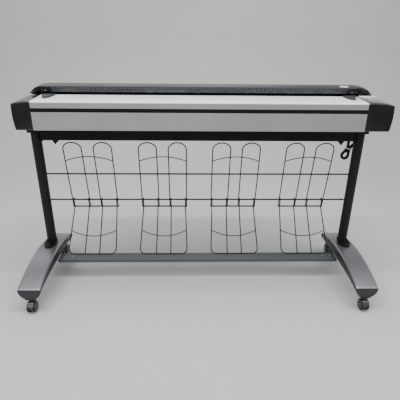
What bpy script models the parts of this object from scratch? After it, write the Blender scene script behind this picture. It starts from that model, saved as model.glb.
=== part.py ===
"""Wide-format sheet scanner on a wheeled stand with wire catch racks. Blender 4.5, metres, +Z up.

+X runs along the scanner to the operator's right, +Y from the feeding side to the back. The
origin is on the floor, under the middle of the stand.
"""
import math

import bmesh
import bpy
from mathutils import Matrix, Vector

# ---- Driving dimensions -------------------------------------------------------------------
GAP = 0.0003  # clearance between touching pieces
WALL = 0.003  # shells and folded sheet

# Stand
LEG_X = 0.824
LEG_Y = 0.080
LEG_RADIUS = 0.025
FOOT_WIDTH = 0.110
FOOT_HALF_LENGTH = 0.288
FOOT_Y = -0.024
FOOT_END_TOP = 0.131
FOOT_CREST = 0.180
FOOT_BOTTOM = 0.073
CROSSBAR_Y = (-0.027, 0.049)
CROSSBAR_Z = (0.106, 0.121)
BEAM_Y = (0.055, 0.105)
BEAM_Z = (0.769, 0.835)
FLANGE = (0.033, 0.055, 0.009)  # oval under each leg: half its width and length, thickness
FLANGE_AHEAD = 0.025  # how far its centre lies in front of the leg
HOOK_X = (0.706, 0.728, 0.742)  # hooks under the beam: inner side, tip, outer side
BRACKET_HALF = 0.033
BRACKET_LOW = 0.809
BRACKET_NOTCH = 0.852  # top of the cut that leaves the beam's upper face free
LUG_Y = (0.1062, 0.1105)
ROD_RADIUS = 0.0040
UPPER_ROD = (0.063, 0.590)
MIDDLE_ROD = (0.092, 0.432)

# Casters
WHEEL_RADIUS = 0.028
WHEEL_WIDTH = 0.011
WHEEL_INSIDE = 0.0090
CASTER_TRAIL = 0.0215
HOOD_RADIUS = 0.0314  # the hood over each pair of wheels
HOOD_HALF_WIDTH = 0.0145
HOOD_SKIN = 0.0026
HOOD_ARCS = {"front": (-10, 155), "rear": (25, 190)}  # degrees round the axle
CASTER_INSET = 0.032

# Wire racks
RACK_COUNT = 4
RACK_PITCH = 0.3743
WIRE_RADIUS = 0.0029
RACK_OUTER = 0.1205
RACK_INNER = 0.0297
RACK_TOP_Z = 0.769
RACK_BAR_Z = 0.391
RACK_FLARE = 0.0062
RACK_LOW_END = (-0.090, 0.197)
RACK_CORNER = 0.030
BOW_RADIUS = 0.8 * WIRE_RADIUS

# Scanner body
BODY_X = 0.7465
LEFT_END = -0.8305
RIGHT_END = 0.8665
FRONT_Y = -0.140
BACK_Y = 0.330
BODY_BOTTOM = 0.868
FRONT_TOP = 0.9965
TABLE_DEPTH = 0.156
PAPER_Z = 1.000
STRIP_Z = (0.949, 0.9665)
CAP_SLANT = 0.004  # how far the caps' outer sides lean in at the bottom
CAP_TOP_IN = 0.9965  # the caps' top falls outwards through these three heights
CAP_TOP_MID = 0.9940
CAP_FRONT_TOP = 0.986
CAP_MID = 0.55  # where the middle one lies, as a share of the cap's width
TABLE_BACK = FRONT_Y + TABLE_DEPTH

# Lid
LID_GAP = 0.006  # free height of the paper path
LID_END_X = (-0.820, 0.846)
LID_ROUND = 0.080  # length of the rounded ends
LID_SWEEP = 0.045  # how far the front edge draws back at the ends
HINGE = (0.3215, 0.9965)
HINGE_X = 0.560
HINGE_HALF = 0.030
LID_BASE = 0.9972
LID_FRONT_Y = 0.030
LID_LIP = 1.0335  # underside of the front edge, over the slot
LID_LINE = ((LID_FRONT_Y + 0.002, 1.0363), (0.040, 1.0385), (0.060, 1.0407), (0.090, 1.0420),
            (0.120, 1.0408), (0.170, 1.0345), (0.225, 1.0258), (0.270, 1.0180), (0.303, 1.0118),
            (0.321, 1.0060), (0.3255, 1.0012))

# Lid-lock buttons: plan of the right one
LATCH_LEAF = ((0.7385, 0.0135), (0.677, 0.0100), (0.678, -0.018), (0.684, -0.048), (0.694, -0.069),
              (0.706, -0.076))
LATCH_CENTRE = (0.704, -0.030)

# Control panel: name, x, y and radius of each key
PANEL_Y = (-0.118, 0.022)
PANEL_THICK = 0.0034
KEYS = (("power_key", 0.774, -0.004, 0.0075), ("copy_key", 0.803, 0.000, 0.0065))

# Rollers and drive
ROLLER_Y = (0.072, 0.236)
ROLLER_RADIUS = 0.009
SHAFT_RADIUS = 0.004
PRESS_RADIUS = 0.007
ROLLER_Z = PAPER_Z - GAP - ROLLER_RADIUS
PRESS_Z = PAPER_Z + GAP + PRESS_RADIUS
PULLEY_RADIUS = 0.0058
MOTOR_PULLEY_RADIUS = 0.0045
MOTOR = (0.154, 0.925)
PULLEY_X = (-0.768, -0.760)
BELT_THICKNESS = 0.0014

# Data lead: hangs at the right end, its spare length folded into a tied hank
LEAD_RADIUS = 0.0020
HANK_CENTRE = (0.795, 0.128, 0.712)
HANK_LENGTH = 0.126
HANK_WIDTH = 0.045
HANK_DEPTH = 0.0130
HANK_LEAN = math.radians(20)
HANK_HOLE = 0.0200
HANK_WAIST = 0.0262  # width where the tie pulls the turns together
HANK_PEG = (0.8110, 0.7560)
LEAD_ROUTE = [(0.805, 0.245, 0.8365), (0.805, 0.245, 0.820), (0.807, 0.236, 0.800), (0.811, 0.214, 0.787),
              (0.816, 0.186, 0.786), (0.8185, 0.160, 0.7885), (0.8185, 0.140, 0.7862),
              (0.8175, 0.1236, 0.7765)]


# ---- Materials ----------------------------------------------------------------------------
def material(name, colour, roughness, metallic=0.0):
    made = bpy.data.materials.new(name)
    made.use_nodes = True
    shader = made.node_tree.nodes["Principled BSDF"]
    shader.inputs["Base Color"].default_value = (*colour, 1.0)
    shader.inputs["Roughness"].default_value = roughness
    shader.inputs["Metallic"].default_value = metallic
    return made


def make_materials():
    return {
        "black_steel": material("black_steel", (0.012, 0.012, 0.013), 0.42),
        "grey_foot": material("grey_foot", (0.16, 0.16, 0.17), 0.38, 0.7),
        "blue_grey": material("blue_grey", (0.055, 0.065, 0.072), 0.40),
        "wire_black": material("wire_black", (0.02, 0.02, 0.02), 0.35),
        "tyre": material("tyre", (0.015, 0.015, 0.015), 0.6),
        "caster_grey": material("caster_grey", (0.30, 0.32, 0.33), 0.3),
        "silver_panel": material("silver_panel", (0.46, 0.45, 0.45), 0.38, 0.5),
        "white_table": material("white_table", (0.80, 0.80, 0.82), 0.30),
        "gloss_black": material("gloss_black", (0.010, 0.010, 0.011), 0.12),
        "cap_black": material("cap_black", (0.013, 0.015, 0.015), 0.35),
        "lid_grey": material("lid_grey", (0.10, 0.105, 0.11), 0.35),
        "key_grey": material("key_grey", (0.55, 0.56, 0.58), 0.35),
        "panel_grey": material("panel_grey", (0.36, 0.37, 0.39), 0.35, 0.3),
        "steel": material("steel", (0.55, 0.55, 0.56), 0.32, 1.0),
        "rubber": material("rubber", (0.025, 0.025, 0.025), 0.75),
        "glass": material("glass", (0.75, 0.85, 0.82), 0.05),
        "board_green": material("board_green", (0.02, 0.16, 0.07), 0.45),
        "plain_white": material("plain_white", (0.85, 0.85, 0.84), 0.45),
        "cord_black": material("cord_black", (0.012, 0.012, 0.012), 0.45),
        "tie_white": material("tie_white", (0.75, 0.74, 0.70), 0.5),
    }


# ---- Modelling helpers --------------------------------------------------------------------
def add(name, mesh, paint, place=(0, 0, 0), parent=None, smooth=None):
    """Links a mesh as a named object. `smooth` is the angle under which its edges are shaded round."""
    found = bpy.data.objects.new(name, mesh)
    bpy.context.scene.collection.objects.link(found)
    found.location = place
    found.parent = parent
    if paint is not None and not mesh.materials:
        mesh.materials.append(paint)
    if smooth is not None:
        mesh.shade_smooth()
        mesh.set_sharp_from_angle(angle=math.radians(smooth))
    return found


def mesh_from(shape, name):
    bmesh.ops.recalc_face_normals(shape, faces=shape.faces)
    mesh = bpy.data.meshes.new(name)
    shape.to_mesh(mesh)
    shape.free()
    return mesh


def box_into(shape, low, high):
    """Adds one box to a bmesh, between two corners."""
    centre = [(a + b) / 2 for a, b in zip(low, high)]
    size = [b - a for a, b in zip(low, high)]
    place = Matrix.Translation(centre) @ Matrix.Diagonal((*size, 1.0))
    return bmesh.ops.create_cube(shape, size=1.0, matrix=place)["verts"]


def boxes_mesh(name, corners, round_edges=0.0):
    """One mesh of separate boxes, each given by its two corners."""
    shape = bmesh.new()
    for low, high in corners:
        box_into(shape, low, high)
    if round_edges:
        bmesh.ops.bevel(shape, geom=shape.edges[:], offset=round_edges, segments=1, affect="EDGES")
    return mesh_from(shape, name)


def prism_into(shape, outline, axis, start, end):
    """Adds the solid that an outline sweeps along X, Y or Z. Outlines are (y, z), (x, z) or (x, y)."""
    def corner(a, b, c):
        return {"X": (c, a, b), "Y": (a, c, b), "Z": (a, b, c)}[axis]

    ring = [shape.verts.new(corner(a, b, start)) for a, b in outline]
    face = shape.faces.new(ring)
    swept = bmesh.ops.extrude_face_region(shape, geom=[face])["geom"]
    move = Vector(corner(0, 0, end - start))
    bmesh.ops.translate(shape, vec=move, verts=[v for v in swept if isinstance(v, bmesh.types.BMVert)])


def prism_mesh(name, outline, axis, start, end):
    shape = bmesh.new()
    prism_into(shape, outline, axis, start, end)
    return mesh_from(shape, name)


def turned_into(shape, profile, axis, centre, steps):
    """Adds a solid of revolution. The profile is (distance along the axis, radius), ends on the axis."""
    along = {"X": Vector((1, 0, 0)), "Y": Vector((0, 1, 0)), "Z": Vector((0, 0, 1))}[axis]
    out = {"X": Vector((0, 0, 1)), "Y": Vector((0, 0, 1)), "Z": Vector((1, 0, 0))}[axis]
    start = Vector(centre)
    points = [(profile[0][0], 0.0), *profile, (profile[-1][0], 0.0)]
    line = [shape.verts.new(start + along * a + out * r) for a, r in points]
    edges = [shape.edges.new(pair) for pair in zip(line, line[1:])]
    bmesh.ops.spin(shape, geom=line + edges, cent=start, axis=along, angle=math.tau, steps=steps,
                   use_merge=True)
    bmesh.ops.remove_doubles(shape, verts=shape.verts, dist=1e-6)


def turned_mesh(name, profile, axis="Z", centre=(0, 0, 0), steps=24):
    shape = bmesh.new()
    turned_into(shape, profile, axis, centre, steps)
    return mesh_from(shape, name)


def arc(centre, radius, start, end, steps):
    """Points on a circle or, with a pair of radii, an ellipse. Angles in degrees."""
    across, up = radius if isinstance(radius, tuple) else (radius, radius)
    turns = [math.radians(start + (end - start) * i / steps) for i in range(steps + 1)]
    return [(centre[0] + across * math.cos(t), centre[1] + up * math.sin(t)) for t in turns]


def tube_curve(name, points, radius, resolution):
    """A round tube with closed ends through the points, as a curve object's data."""
    curve = bpy.data.curves.new(name, "CURVE")
    curve.dimensions = "3D"
    curve.bevel_depth = radius
    curve.bevel_resolution = resolution
    curve.use_fill_caps = True
    spline = curve.splines.new("POLY")
    spline.points.add(len(points) - 1)
    for point, place in zip(spline.points, points):
        point.co = (*place, 1.0)
    return curve


def helper(name, data):
    """An object that only takes part in a Boolean, and isn't a piece of the model."""
    made = bpy.data.objects.new(name, data)
    bpy.context.scene.collection.objects.link(made)
    made.hide_render = True
    made.display_type = "WIRE"
    return made


def evaluated_mesh(obj, name):
    """The object's mesh with its modifiers worked out."""
    bpy.context.view_layer.update()
    graph = bpy.context.evaluated_depsgraph_get()
    mesh = bpy.data.meshes.new_from_object(obj.evaluated_get(graph))
    mesh.name = name
    return mesh


def combined_mesh(name, base, others, operation="UNION"):
    """Joins or cuts meshes with Booleans and returns the one closed mesh that results."""
    body = helper(name + "_base", base)
    tools = [helper(f"{name}_tool_{i}", mesh) for i, mesh in enumerate(others)]
    for tool in tools:
        step = body.modifiers.new(tool.name, "BOOLEAN")
        step.operation = operation
        step.object = tool
    result = evaluated_mesh(body, name)
    for used in (body, *tools):
        bpy.data.objects.remove(used)
    return result


def tube_mesh(name, points, radius, resolution=1):
    used = helper(name + "_curve", tube_curve(name, points, radius, resolution))
    mesh = evaluated_mesh(used, name)
    bpy.data.objects.remove(used)
    return mesh


# ---- Stand --------------------------------------------------------------------------------
def foot_top(y):
    """Height of the foot's top along its length: an arc with its crest in the middle."""
    sagitta = FOOT_CREST - FOOT_END_TOP
    radius = (FOOT_HALF_LENGTH**2 + sagitta**2) / (2 * sagitta)
    return FOOT_CREST - radius + math.sqrt(radius**2 - (y - FOOT_Y) ** 2)


def foot_mesh():
    """A D-shaped section, flat on top, that grows deeper towards the crest."""
    shape = bmesh.new()
    rings = []
    for i in range(13):
        y = FOOT_Y + FOOT_HALF_LENGTH * (i / 6 - 1)
        top = foot_top(y)
        half = arc((0, top - 0.004), (FOOT_WIDTH / 2, top - 0.004 - FOOT_BOTTOM), 180, 360, 10)
        section = [(-FOOT_WIDTH / 2 + 0.002, top), *half, (FOOT_WIDTH / 2 - 0.002, top)]
        rings.append([shape.verts.new((x, y, z)) for x, z in section])
    for near, far in zip(rings, rings[1:]):
        for j in range(len(near)):
            k = (j + 1) % len(near)
            shape.faces.new((near[j], near[k], far[k], far[j]))
    shape.faces.new(rings[0])
    shape.faces.new(rings[-1])
    return mesh_from(shape, "foot")


def make_stand(paint):
    foot = foot_mesh()
    half_wide, half_long, thick = FLANGE
    oval = arc((0, -FLANGE_AHEAD), (half_wide, half_long), 0, 360, 28)[:-1]
    seat = foot_top(max(FOOT_Y, LEG_Y - FLANGE_AHEAD - half_long)) + GAP
    leg_top = BODY_BOTTOM - 0.012
    ring = thick + 0.007
    tube = [(0, 0.029), (ring, 0.029), (ring, LEG_RADIUS), (leg_top - seat - GAP, LEG_RADIUS)]
    leg = combined_mesh("leg", turned_mesh("tube", tube, "Z", (0, 0, 0), 24),
                        [prism_mesh("flange", oval, "Z", 0, thick)])
    for side, x in (("left", -LEG_X), ("right", LEG_X)):
        add(f"foot_{side}", foot.copy(), paint["grey_foot"], (x, 0, 0), smooth=40)
        add(f"leg_{side}", leg.copy(), paint["black_steel"], (x, LEG_Y, seat), smooth=40)
        make_head_bracket(side, x, paint)

    reach = LEG_X - LEG_RADIUS - 2 * GAP
    beam = boxes_mesh("beam", [((-reach, BEAM_Y[0], BEAM_Z[0]), (reach, BEAM_Y[1], BEAM_Z[1]))], 0.004)
    hooks = []
    for side in (-1, 1):
        root, (inner, tip, outer) = BEAM_Z[0] + 0.006, HOOK_X
        tab = [(side * outer, root), (side * inner, root), (side * inner, BEAM_Z[0]),
               (side * tip, BEAM_Z[0] - 0.022), (side * outer, BEAM_Z[0])]
        gusset = [(side * reach, root), (side * (reach - 0.014), root),
                  (side * (reach - 0.014), BEAM_Z[0]), (side * reach, BEAM_Z[0] - 0.014)]
        hooks += [prism_mesh("hook", outline, "Y", 0.062, 0.066) for outline in (tab, gusset)]
    add("top_beam", combined_mesh("top_beam", beam, hooks), paint["black_steel"])
    bar_end = LEG_X - FOOT_WIDTH / 2 + 0.001
    section = [(CROSSBAR_Y[0], CROSSBAR_Z[0]), (CROSSBAR_Y[0] + 0.002, CROSSBAR_Z[1]),
               (CROSSBAR_Y[1] - 0.002, CROSSBAR_Z[1]), (CROSSBAR_Y[1], CROSSBAR_Z[0])]
    add("lower_crossbar", prism_mesh("lower_crossbar", section, "X", -bar_end, bar_end), paint["blue_grey"])
    for name, (y, z) in (("upper_rod", UPPER_ROD), ("middle_rod", MIDDLE_ROD)):
        nearest = max(0.0, abs(y - LEG_Y) - ROD_RADIUS)
        half = LEG_X - math.sqrt(LEG_RADIUS**2 - nearest**2) - GAP
        rod = turned_mesh(name, [(-half, ROD_RADIUS), (half, ROD_RADIUS)], "X", (0, y, z), 8)
        add(name, rod, paint["wire_black"], smooth=50)


def make_head_bracket(side, x, paint):
    """The block on a leg's top that the scanner is bolted to: a hollow sleeve under a flat plate.

    Its inner side is cut away where the beam meets the leg.
    """
    top = BODY_BOTTOM - GAP
    half = BRACKET_HALF
    plate = boxes_mesh("plate", [((-half, 0.040, top - 0.010), (half, 0.19, top))], 0.002)
    sleeve = boxes_mesh("sleeve", [((-half, 0.0495, BRACKET_LOW), (half, LUG_Y[1], top - 0.005))], 0.002)
    bore = turned_mesh("bore", [(0.70, LEG_RADIUS + GAP), (top - 0.0115, LEG_RADIUS + GAP)], "Z",
                       (0, LEG_Y, 0), 24)
    inward = -1 if side == "right" else 1
    near, far = sorted((inward * (LEG_RADIUS - 0.002), inward * (half + 0.002)))
    notch = boxes_mesh("notch", [((near, BEAM_Y[0] - GAP, BRACKET_LOW - 0.01),
                                  (far, BEAM_Y[1] + GAP, BRACKET_NOTCH))])
    pieces = [sleeve]
    if side == "right":
        peg_x, peg_z = HANK_PEG[0] - x, HANK_PEG[1]
        pieces.append(boxes_mesh("lug", [((peg_x - 0.004, LUG_Y[0], peg_z - 0.005),
                                          (peg_x + 0.004, LUG_Y[1], BRACKET_LOW + 0.006))]))
        pieces.append(turned_mesh("peg", [(0.108, 0.003), (0.137, 0.003)], "Y", (peg_x, 0, peg_z), 10))
    joined = combined_mesh("joined", plate, pieces)
    cut = combined_mesh(f"head_bracket_{side}", joined, [bore, notch], "DIFFERENCE")
    add(f"head_bracket_{side}", cut, paint["black_steel"], (x, 0, 0))


# ---- Wire racks ---------------------------------------------------------------------------
def rod_line(z, offset):
    """Depth of the racks' back frame at a height, `offset` in front of the line through both rods."""
    (y_low, z_low), (y_high, z_high) = MIDDLE_ROD, UPPER_ROD
    return y_low + (y_high - y_low) * (z - z_low) / (z_high - z_low) - offset


def upper_rack_mesh():
    """Two upturned U wires, a bowed cross wire and a bar along the bottom, welded together."""
    clear = ROD_RADIUS + WIRE_RADIUS + GAP + 0.0002
    middle = (RACK_OUTER + RACK_INNER) / 2
    half = (RACK_OUTER - RACK_INNER) / 2
    bar_y, half_bar = rod_line(RACK_BAR_Z, clear), RACK_OUTER + 0.004
    bar = boxes_mesh("bar", [((-half_bar, bar_y - 0.001, RACK_BAR_Z - 0.0035),
                              (half_bar, bar_y + 0.004, RACK_BAR_Z + 0.0035))])
    loops = []
    for side in (-1, 1):
        crown = arc((side * middle, RACK_TOP_Z - 0.036), (half, 0.036), 180, 0, 10)
        route = [(side * middle - half, RACK_BAR_Z), *crown, (side * middle + half, RACK_BAR_Z)]
        loops.append(tube_mesh("loop", [(x, rod_line(z, clear), z) for x, z in route], WIRE_RADIUS))
    ends, rise = 0.668, 0.025
    cross = [(RACK_OUTER * t / 4, ends + rise * (1 - (t / 4) ** 2)) for t in range(-4, 5)]
    bow = tube_mesh("bow", [(x, rod_line(z, clear + 0.003), z) for x, z in cross], BOW_RADIUS)
    return combined_mesh("rack_upper", bar, [*loops, bow])


def lower_rack_mesh():
    """Wires that hook over the middle rod, drop past the bar and slope forward to a closed end."""
    hook = ROD_RADIUS + WIRE_RADIUS + 0.0006
    rod_y, rod_z = MIDDLE_ROD
    bar_front = rod_line(RACK_BAR_Z, ROD_RADIUS + WIRE_RADIUS + GAP + 0.0002) - 0.001
    knee = (bar_front - WIRE_RADIUS - 0.0012, RACK_BAR_Z)
    end_y, end_z = RACK_LOW_END
    top_half, low_half = RACK_OUTER - RACK_FLARE, RACK_OUTER + 0.003
    inner_top, inner_low = RACK_INNER + RACK_FLARE, RACK_INNER + RACK_FLARE + 0.002

    def over_rod(x):
        turn = arc((rod_y, rod_z), hook, -20, 195, 6)
        return [(x, y, z) for y, z in turn] + [(x, *knee)]

    outer = over_rod(-top_half)
    across = low_half - RACK_CORNER
    fall = Vector((0, end_y - knee[0], end_z - knee[1])).normalized()
    end = Vector((0, end_y, end_z))
    for angle in (0, 30, 60, 90):
        t = math.radians(angle)
        sideways = Vector((-across - RACK_CORNER * math.cos(t), 0, 0))
        outer.append(tuple(end - fall * RACK_CORNER * (1 - math.sin(t)) + sideways))
    outer += [(-x, y, z) for x, y, z in reversed(outer)]
    wires = []
    for side in (-1, 1):
        run = over_rod(side * inner_top) + [(side * inner_low, end_y, end_z)]
        wires.append(tube_mesh("run", run, WIRE_RADIUS))
    bow = []
    for t in range(-4, 5):
        along = 0.50 + 0.12 * (1 - (t / 4) ** 2)
        spot = Vector((0, *knee)) + (end - Vector((0, *knee))) * along
        bow.append((t / 4 * (top_half + (low_half - top_half) * 0.6), spot.y - 0.003, spot.z - 0.001))
    wires.append(tube_mesh("bow", bow, BOW_RADIUS))
    return combined_mesh("rack_lower", tube_mesh("outer", outer, WIRE_RADIUS), wires)


def make_racks(paint):
    upper, lower = upper_rack_mesh(), lower_rack_mesh()
    lower.transform(Matrix.Translation((0, -MIDDLE_ROD[0], -MIDDLE_ROD[1])))
    for i in range(RACK_COUNT):
        x = RACK_PITCH * (i - (RACK_COUNT - 1) / 2)
        add(f"rack_upper_{i + 1}", upper, paint["wire_black"], (x, 0, 0), smooth=60)
        add(f"rack_lower_{i + 1}", lower, paint["wire_black"], (x, *MIDDLE_ROD), smooth=60)


# ---- Casters ------------------------------------------------------------------------------
def make_casters(paint):
    for end, way in (("front", -1), ("rear", 1)):
        for side, x in (("left", -LEG_X), ("right", LEG_X)):
            y = FOOT_Y + way * (FOOT_HALF_LENGTH - CASTER_INSET)
            name = f"caster_{end}_{side}"
            swivel = bpy.data.objects.new(name + "_axis", None)
            bpy.context.scene.collection.objects.link(swivel)
            swivel.location = (x, y, 0)
            top = FOOT_BOTTOM - GAP
            axle = (way * CASTER_TRAIL, WHEEL_RADIUS)
            hood = arc(axle, 0.0245, 0, 180, 8)
            cheek = [*hood, (axle[0] - 0.012, WHEEL_RADIUS - 0.004), (axle[0] + 0.012, WHEEL_RADIUS - 0.004)]
            body = prism_mesh("body", cheek, "X", -WHEEL_INSIDE + 0.0008, WHEEL_INSIDE - 0.0008)
            first, last = HOOD_ARCS[end]
            shade = arc(axle, HOOD_RADIUS, first, last, 14)
            shade += arc(axle, HOOD_RADIUS - HOOD_SKIN, last, first, 14)
            hood_shell = prism_mesh("hood_shell", shade, "X", -HOOD_HALF_WIDTH, HOOD_HALF_WIDTH)
            ridge = boxes_mesh("ridge", [((-0.007, axle[0] - 0.006, 0.045),
                                          (0.007, axle[0] + 0.006, 0.0585))])
            stem = [(0.034, 0.0080), (0.0605, 0.0080), (0.0630, 0.017), (top, 0.019)]
            neck = turned_mesh("neck", stem, "Z", (0, 0, 0), 14)
            arm = boxes_mesh("arm", [((-0.0075, min(0, axle[0]) - 0.002, 0.036),
                                      (0.0075, max(0, axle[0]) + 0.002, 0.050))])
            bore = turned_mesh("bore", [(-0.02, 0.0035), (0.02, 0.0035)], "X", (0, *axle), 12)
            solid = combined_mesh("solid", body, [neck, arm, ridge, hood_shell])
            housing = combined_mesh("housing", solid, [bore], "DIFFERENCE")
            add(name + "_housing", housing, paint["caster_grey"], parent=swivel, smooth=35)
            face = -WHEEL_INSIDE - WHEEL_WIDTH
            wheel = [(face, 0.012), (face, 0.023), (face + 0.003, WHEEL_RADIUS),
                     (-WHEEL_INSIDE - 0.002, WHEEL_RADIUS), (-WHEEL_INSIDE, 0.025), (-WHEEL_INSIDE, 0.0032)]
            profile = wheel + [(-a, r) for a, r in reversed(wheel)]
            add(name + "_wheels", turned_mesh("wheels", profile, "X", (0, 0, 0), 20), paint["tyre"],
                (0, *axle), swivel, 35)


# ---- Scanner base -------------------------------------------------------------------------
def cap_outline(outer, inner):
    """Front view of an end cap: the outer side leans in towards the bottom, the top falls outwards."""
    way = 1 if outer > 0 else -1
    foot = outer - way * CAP_SLANT
    belly = outer - way * CAP_SLANT * 0.35
    middle = way * BODY_X + CAP_MID * (outer - way * BODY_X)
    return [(inner, BODY_BOTTOM), (foot - way * 0.004, BODY_BOTTOM), (foot, BODY_BOTTOM + 0.003),
            (belly, 0.925), (outer, CAP_FRONT_TOP - 0.004), (outer - way * 0.003, CAP_FRONT_TOP),
            (middle, CAP_TOP_MID), (inner, CAP_TOP_IN)]


def cap_middle():
    return BODY_X + CAP_MID * (RIGHT_END - BODY_X)


def cap_top(x):
    """Height of the right cap's top, which falls gently and then more steeply."""
    middle = cap_middle()
    if x < middle:
        return CAP_TOP_IN + (CAP_TOP_MID - CAP_TOP_IN) * (x - BODY_X) / (middle - BODY_X)
    return CAP_TOP_MID + (CAP_FRONT_TOP - CAP_TOP_MID) * (x - middle) / (RIGHT_END - 0.003 - middle)


def make_end_caps(paint):
    for side, outer in (("left", LEFT_END), ("right", RIGHT_END)):
        way = 1 if outer > 0 else -1
        inner = way * (BODY_X + GAP)
        shell = prism_mesh("shell", cap_outline(outer, inner), "Y", FRONT_Y, BACK_Y)
        low_x, high_x = sorted((inner - way * 0.010, outer - way * (CAP_SLANT + WALL)))
        hollow = boxes_mesh("hollow", [((low_x, FRONT_Y + WALL, BODY_BOTTOM + WALL),
                                        (high_x, BACK_Y - WALL, CAP_FRONT_TOP - WALL))])
        cuts = [hollow]
        if side == "left":
            # the belt and pulleys reach up through this opening, under the lid
            cuts.append(boxes_mesh("opening", [((PULLEY_X[0] - 0.008, ROLLER_Y[0] - 0.018, 0.970),
                                                (-BODY_X + 0.010, ROLLER_Y[1] + 0.018, 1.010))]))
        else:
            # the keys sink into these wells
            for _, x, y, radius in KEYS:
                well = [(cap_top(x + radius) - 0.003, radius + 0.0004), (CAP_TOP_IN + 0.02, radius + 0.0004)]
                cuts.append(turned_mesh("well", well, "Z", (x, y, 0), 16))
        mesh = combined_mesh(f"{side}_end_cap", shell, cuts, "DIFFERENCE")
        add(f"{side}_end_cap", mesh, paint["cap_black"])


def make_control_panel(paint):
    """A slim plate on the right cap's sloping top, with two push keys standing in its holes."""
    places = (0.758, cap_middle(), 0.850)
    section = [(x, cap_top(x) + GAP) for x in places]
    section += [(x, cap_top(x) + PANEL_THICK) for x in reversed(places)]
    plate = prism_mesh("plate", section, "Y", *PANEL_Y)
    holes = []
    for name, x, y, radius in KEYS:
        base, top = cap_top(x + radius) + 0.0016, cap_top(x) + PANEL_THICK + 0.0013
        profile = [(base, radius), (top - 0.0006, radius), (top, radius - 0.0006)]
        add(name, turned_mesh(name, profile, "Z", (0, 0, 0), 16), paint["key_grey"], (x, y, 0), smooth=40)
        bore = [(0.97, radius + 0.0004), (1.02, radius + 0.0004)]
        holes.append(turned_mesh("hole", bore, "Z", (x, y, 0), 16))
    add("control_panel", combined_mesh("control_panel", plate, holes, "DIFFERENCE"), paint["panel_grey"])


def latch_outline(way, grow=0.0):
    """Plan of a lid-lock button: a leaf whose point lies towards the scanner's middle."""
    spread = []
    for x, y in LATCH_LEAF:
        dx, dy = x - LATCH_CENTRE[0], y - LATCH_CENTRE[1]
        reach = math.hypot(dx, dy)
        spread.append((way * (x + dx / reach * grow), min(y + dy / reach * grow, TABLE_BACK - 0.0006)))
    return spread


def make_body(paint):
    front = FRONT_Y + 0.0063
    floor = BODY_BOTTOM + WALL
    pan = [(front, 0.975), (front, BODY_BOTTOM), (BACK_Y, BODY_BOTTOM), (BACK_Y, 0.985),
           (BACK_Y - WALL, 0.985), (BACK_Y - WALL, floor), (front + WALL, floor), (front + WALL, 0.975)]
    inside = BODY_X - 0.005
    hinges = []
    for x in (-HINGE_X, HINGE_X):
        left, right = x - HINGE_HALF, x + HINGE_HALF
        hinges.append(turned_mesh("barrel", [(left, 0.0036), (right, 0.0036)], "X", (0, *HINGE), 10))
        hinges.append(boxes_mesh("lug", [((left, BACK_Y - WALL + GAP, 0.980), (right, BACK_Y, HINGE[1]))]))
        hinges.append(boxes_mesh("web", [((left, HINGE[0], 0.9932), (right, BACK_Y - 0.0004, 0.9962))]))
    folded = prism_mesh("folded", pan, "X", -inside, inside)
    add("base_pan", combined_mesh("base_pan", folded, hinges), paint["black_steel"])
    low, high = STRIP_Z
    groove = FRONT_Y + 0.0016
    back = FRONT_Y + 0.006
    front = [(FRONT_Y, BODY_BOTTOM), (FRONT_Y, low), (groove, low), (groove, high), (FRONT_Y, high),
             (FRONT_Y, FRONT_TOP - 0.0066), (back, FRONT_TOP - 0.0066), (back, BODY_BOTTOM)]
    add("front_panel", prism_mesh("front_panel", front, "X", -BODY_X, BODY_X), paint["silver_panel"])
    strip = [((-BODY_X, FRONT_Y + 0.0002, low + GAP), (BODY_X, groove - GAP, high - GAP))]
    add("accent_strip", boxes_mesh("accent_strip", strip), paint["gloss_black"])

    edge = arc((FRONT_Y + 0.004, FRONT_TOP - 0.004), 0.004, 180, 100, 4)
    table = [(FRONT_Y, FRONT_TOP - 0.0063), *edge, (TABLE_BACK, PAPER_Z + 0.001),
             (TABLE_BACK, PAPER_Z - 0.003), (FRONT_Y + 0.004, FRONT_TOP - 0.0063)]
    plate = prism_mesh("plate", table, "X", -BODY_X, BODY_X)
    wells = [prism_mesh("well", latch_outline(way, 0.0008), "Z", 0.97, 1.02) for way in (-1, 1)]
    add("feed_table", combined_mesh("feed_table", plate, wells, "DIFFERENCE"), paint["white_table"])
    for side, way in (("left", -1), ("right", 1)):
        button = prism_mesh("button", latch_outline(way), "Z", 0.9905, 1.0075)
        add(f"latch_button_{side}", button, paint["lid_grey"])

    near, far, low = FRONT_Y + 0.010, BACK_Y - 0.004, BODY_BOTTOM + 0.004
    plan = [(near, low), (far, low), (far, 0.9925), (TABLE_BACK + 0.002, 0.9925), (TABLE_BACK + 0.002, 0.975),
            (near, 0.975)]
    frame = prism_mesh("frame", plan, "X", -BODY_X + 0.0015, -BODY_X + 0.0047)
    bores = []
    for y, z, radius in ((ROLLER_Y[0], ROLLER_Z, SHAFT_RADIUS), (ROLLER_Y[1], ROLLER_Z, SHAFT_RADIUS),
                         (*MOTOR, 0.004)):
        bore = [(-0.76, radius + 0.0004), (-0.73, radius + 0.0004)]
        bores.append(turned_mesh("bore", bore, "X", (0, y, z), 12))
    side_frame = combined_mesh("side_frame", frame, bores, "DIFFERENCE")
    add("side_frame_left", side_frame, paint["steel"])
    add("side_frame_right", side_frame, paint["steel"], (2 * BODY_X - 0.0062, 0, 0))


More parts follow.
